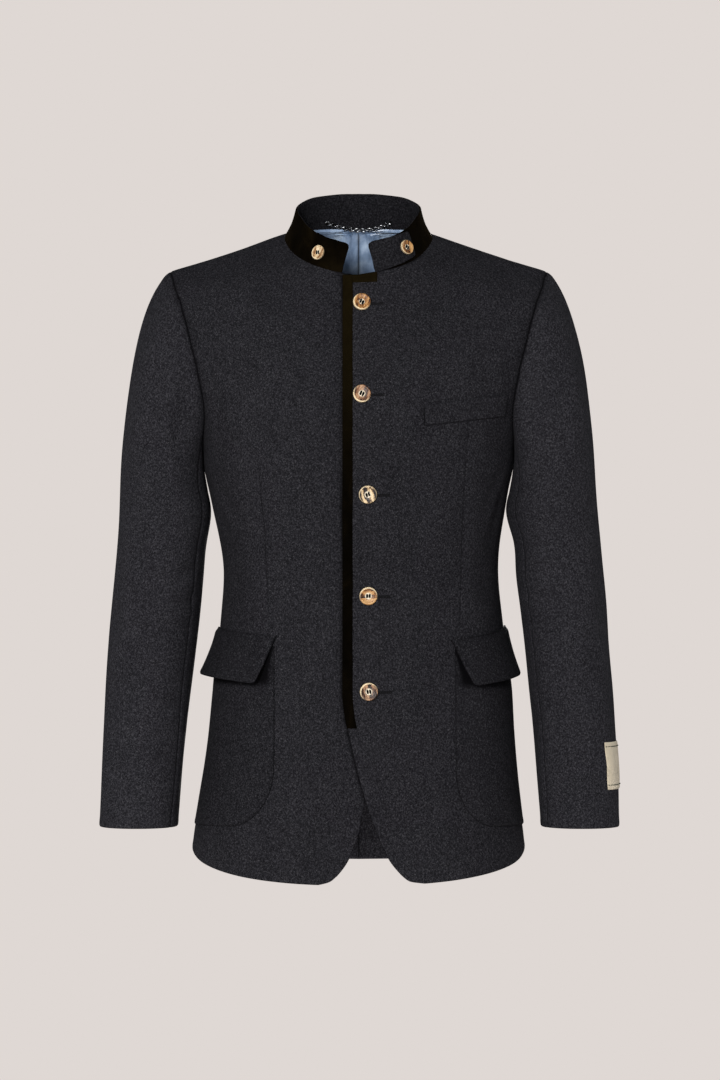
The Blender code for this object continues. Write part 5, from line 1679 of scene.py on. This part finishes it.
def satin(name):
    k = Look(name)
    warp = k.wave(k.mapped((1, 1, 0.05)), "X", 900, 1.2)
    soft = k.noise(k.mapped((1, 1, 0.22)), 42, 3, 0.55, 0.3)
    slub = k.noise(k.mapped((1, 1, 0.03)), 900, 2, 0.5)
    col = k.ramp(soft, [(0.34, (0.10, 0.16, 0.27)), (0.50, (0.26, 0.36, 0.53)),
                        (0.66, (0.56, 0.70, 0.88))])
    col = k.mixed(0.22, col, slub, "OVERLAY")
    # dark blue at the seam line and as painted shade in the gathers
    col = k.mixed(k.painted_light_shade_and_seams_input(), col, (0.020, 0.030, 0.050))
    return k.done(col, (soft, 0.22, 0.40), 0.9, (0.10, 0.3, (0.75, 0.87, 1.0)),
                  [(warp, 0.10, 0.0002), (soft, 0.30, 0.0012)])


def horn(name, centre, radius, lean, stretch, tones, contrast, rim_way, seed):
    """Horn with dark and tan streaks along one way, a cream rim on one side and a cream middle."""
    k = Look(name)
    turned = k.node("Mapping", {"Location": (seed * 0.037, seed * 0.011, seed * 0.023),
                                "Rotation": (0, math.radians(lean), 0),
                                "Scale": (1.0, 1.0, stretch), "Vector": k.place},
                    vector_type="TEXTURE").outputs[0]
    streak = k.noise(turned, 640, 3, 0.6, 0.5)
    broad = k.noise(turned, 190, 2, 0.5, 0.4)
    w = 0.11 / contrast
    col = k.ramp(k.mixed(0.55, streak, broad),
                 list(zip((0.5 - w, 0.5 - w * 0.35, 0.5 + w * 0.25, 0.5 + w), tones)))
    part = k.part_of(tuple(centre), radius)
    skew = k.part_of(tuple(c + r * radius * 0.10 for c, r in zip(centre, rim_way)), radius)
    rim = k.grey(skew, (0.0, 0), (0.90, 0), (0.98, 0.85), (1.0, 0.85))
    mid = k.grey(part, (0.0, 0.95), (0.33, 0.9), (0.41, 0))
    # painted shade: the horn darkens toward the button's outer edge
    dark = k.grey(part, (0.0, 0), (0.95, 0), (1.0, 0.7))
    col = k.mixed(rim, col, (0.86, 0.70, 0.44))
    col = k.mixed(mid, col, (0.86, 0.76, 0.57))
    col = k.mixed(dark, col, (0.06, 0.035, 0.018))
    return k.done(col, (streak, 0.34, 0.55), 0.35, bumps=[(streak, 0.18, 0.0004)])


def metal(name):
    k = Look(name)
    n = k.noise(k.mapped(), 420, 3, 0.6)
    col = k.ramp(n, [(0.44, (0.012, 0.012, 0.014)), (0.54, (0.22, 0.23, 0.25)),
                     (0.62, (0.85, 0.86, 0.88))])
    fill(k.skin, {"Metallic": 0.9})
    return k.done(col, (n, 0.18, 0.42), bumps=[(n, 0.2, 0.0003)])


def woven(name):
    k = Look(name)
    weave = k.maths("MAXIMUM", k.wave(k.mapped(), "Y", 420, 0.6), k.wave(k.mapped(), "Z", 420, 0.6))
    soil = k.noise(k.mapped(), 70, 3, 0.6)
    col = k.ramp(soil, [(0.3, (0.60, 0.53, 0.40)), (0.7, (0.78, 0.70, 0.55))])
    low = k.mixed(1.0, col, (0.80, 0.78, 0.74), "MULTIPLY")
    col = k.mixed(k.maths("MULTIPLY", weave, 0.25), low, (0.70, 0.62, 0.48))
    return k.done(col, 0.86, sheen=(0.15,), bumps=[(weave, 0.4, 0.0004)])


def thread(name, dark, light):
    k = Look(name)
    n = k.noise(k.mapped((1, 1, 1), (20, 30, 40)), 1500, 2, 0.6)
    col = k.ramp(n, [(0.35, dark), (0.65, light)])
    return k.done(col, (n, 0.6, 0.9), 0.12, bumps=[(n, 0.5, 0.0003)])


def paper(name, color, rough):
    k = Look(name)
    n = k.noise(k.mapped(), 6, 2, 0.5)
    return k.done(k.ramp(n, [(0.3, [c * 0.985 for c in color]), (0.7, color)]), rough)


GOLD = ((0.030, 0.011, 0.004), (0.16, 0.060, 0.017), (0.37, 0.170, 0.050), (0.56, 0.32, 0.125))
ROSE = ((0.016, 0.007, 0.004), (0.085, 0.035, 0.017), (0.22, 0.100, 0.048), (0.45, 0.26, 0.140))
UMBER = ((0.010, 0.005, 0.003), (0.050, 0.022, 0.012), (0.15, 0.072, 0.038), (0.42, 0.25, 0.140))
STRIPE = ((0.012, 0.006, 0.004), (0.090, 0.042, 0.020), (0.54, 0.38, 0.20), (0.76, 0.58, 0.35))
SHELL = ((0.20, 0.085, 0.030), (0.55, 0.36, 0.18), (0.80, 0.63, 0.40), (0.90, 0.75, 0.50))
# lean of the streaks from upright, stretch, tones, contrast, side the rim is widest on, seed
HORN = {
    "front_1": (14, 6.0, GOLD, 1.2, (1.0, 0, 0.6), 3),
    "front_2": (20, 7.0, ROSE, 1.4, (0.8, 0, 0.8), 8),
    "front_3": (-18, 9.0, STRIPE, 2.0, (0.2, 0, -0.3), 5),
    "front_4": (86, 6.0, GOLD, 1.6, (0.1, 0, -1.0), 14),
    "front_5": (-8, 4.0, UMBER, 1.8, (0.7, 0, -0.9), 21),
    "collar_right": (16, 5.0, SHELL, 1.0, (0.9, 0, 0), 33),
    "collar_left": (6, 7.0, GOLD, 1.2, (1.0, 0, 0.2), 42),
}


def horn_of(name):
    """The horn of one button, centred on its solid."""
    lo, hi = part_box("button_" + name)
    radius = (COLLAR_BUTTON if "collar" in name else FRONT_BUTTON) * MM
    return horn("horn_" + name, [(a + b) / 2 for a, b in zip(lo, hi)], radius, *HORN[name])


def give(ob, looks, name, *nodes):
    """The first look whose word begins the name goes on the piece."""
    mat, slot = next((mat, slot) for word, mat, slot in looks if name.startswith(word))
    ob.data.materials.clear()
    ob.data.materials.append(mat)
    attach(ob, "root")
    if nodes:
        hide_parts(*nodes)


LOOKS = [("button_" + k, horn_of(k), "horn") for k in HORN] + [
    ("lining", satin("satin_blue"), "satin"),
    ("hanger_chain", metal("chain_metal"), "chain"),
    ("sleeve_label", woven("label_woven"), "label"),
    ("collar_outer", velvet("velvet_brown", 0.85), "velvet"),
    ("trim", velvet("velvet_trim", 0.62, True), "velvet"),
    ("collar_inner", loden("loden_inner", 0.68, 57.0, 0.5), "loden"),
    ("collar_tab", loden("loden_tab", 0.70, 12.0, 0.4), "loden"),
    # the sleeves' lighter copy of the wool and the flaps' and pockets' darker copies are painted
    # light and painted shade
    ("sleeve", loden("loden_sleeve", 1.20, 31.0), "loden"),
    ("flap", loden("loden_flap", 0.78, 20.0), "loden"),
    ("pocket", loden("loden_pocket", 0.86, 43.0), "loden"),
    ("", loden("loden_melange"), "loden")]
dark_thread = thread("thread_dark", (0.0006, 0.0005, 0.0004), (0.003, 0.0026, 0.0022))
hole_thread = thread("thread_buttonhole", (0.0022, 0.0021, 0.0026), (0.0075, 0.0072, 0.0088))
green_thread = thread("thread_green", (0.006, 0.016, 0.010), (0.020, 0.040, 0.024))
EXTRA_LOOKS = [("thread", dark_thread, "horn"), ("buttonhole", hole_thread, "loden"),
               ("chain_tack", dark_thread, "chain"), ("label", green_thread, "label")]
for name, ob in pieces.items():
    give(ob, LOOKS, name, name)
for name, ob in extra.items():
    give(ob, EXTRA_LOOKS, name)

# ------------------------------------------------------------------ floor, light, camera
scene = bpy.context.scene
scene.view_settings.view_transform = "Standard"
scene.view_settings.look = "None"

bpy.ops.mesh.primitive_plane_add(size=1, location=(0, -0.6, -1.30))
floor = bpy.context.object
floor.name = "studio_floor"
floor.scale = (7, 4.6, 1)
floor.data.materials.append(paper("studio_paper", (0.73, 0.68, 0.66), 0.9))

# the backdrop that the camera sees, and the weak light that the jacket gets from all round
world = bpy.data.worlds.new("studio")
scene.world = world
world.use_nodes = True
tree = world.node_tree
tree.nodes.clear()
seen = node(tree, "Background", {0: (0.738, 0.686, 0.658)})
lit = node(tree, "Background", {0: (0.93, 0.95, 1.0), 1: 0.12})
by_camera = node(tree, "LightPath").outputs["Is Camera Ray"]
both = node(tree, "MixShader", {0: by_camera, 1: lit.outputs[0], 2: seen.outputs[0]})
node(tree, "OutputWorld", {0: both.outputs[0]})


def lamp(name, place, aim, size, power, color=(1, 1, 1)):
    d = bpy.data.lights.new(name, "AREA")
    d.shape, d.size, d.size_y = "RECTANGLE", size[0], size[1]
    d.energy, d.color = power, color
    ob = bpy.data.objects.new(name, d)
    scene.collection.objects.link(ob)
    ob.location = place
    way = Vector(np.array(aim, float) - np.array(place, float))
    ob.rotation_euler = way.to_track_quat("-Z", "Y").to_euler()


lamp("key", (-0.80, -3.85, 0.45), (0, 0, -0.42), (0.8, 0.8), 128, (1.0, 0.99, 0.98))
lamp("fill", (0.05, -3.9, -1.0), (0, 0, -0.55), (0.8, 0.6), 20, (0.97, 0.98, 1.0))
lamp("top", (0.0, -0.9, 2.2), (0, 0, -0.2), (1.6, 1.6), 3)
# these light the sides, the back and the floor for the other views
lamp("side_right", (-3.4, 0.9, 0.1), (0, 0, -0.4), (1.4, 1.4), 26)
lamp("side_left", (3.4, 0.9, 0.1), (0, 0, -0.4), (1.4, 1.4), 34)
lamp("back", (0.3, 3.9, 0.4), (0, 0, -0.42), (1.2, 1.2), 110)

cam = bpy.data.cameras.new("camera")
cam.lens, cam.sensor_width, cam.sensor_fit = 113.97, 36, "AUTO"
cam.clip_end = 60
view = bpy.data.objects.new("camera", cam)
scene.collection.objects.link(view)
view.location = (0.00175, -4.0, -0.353)
view.rotation_euler = (math.pi / 2, 0, 0)
scene.camera = view
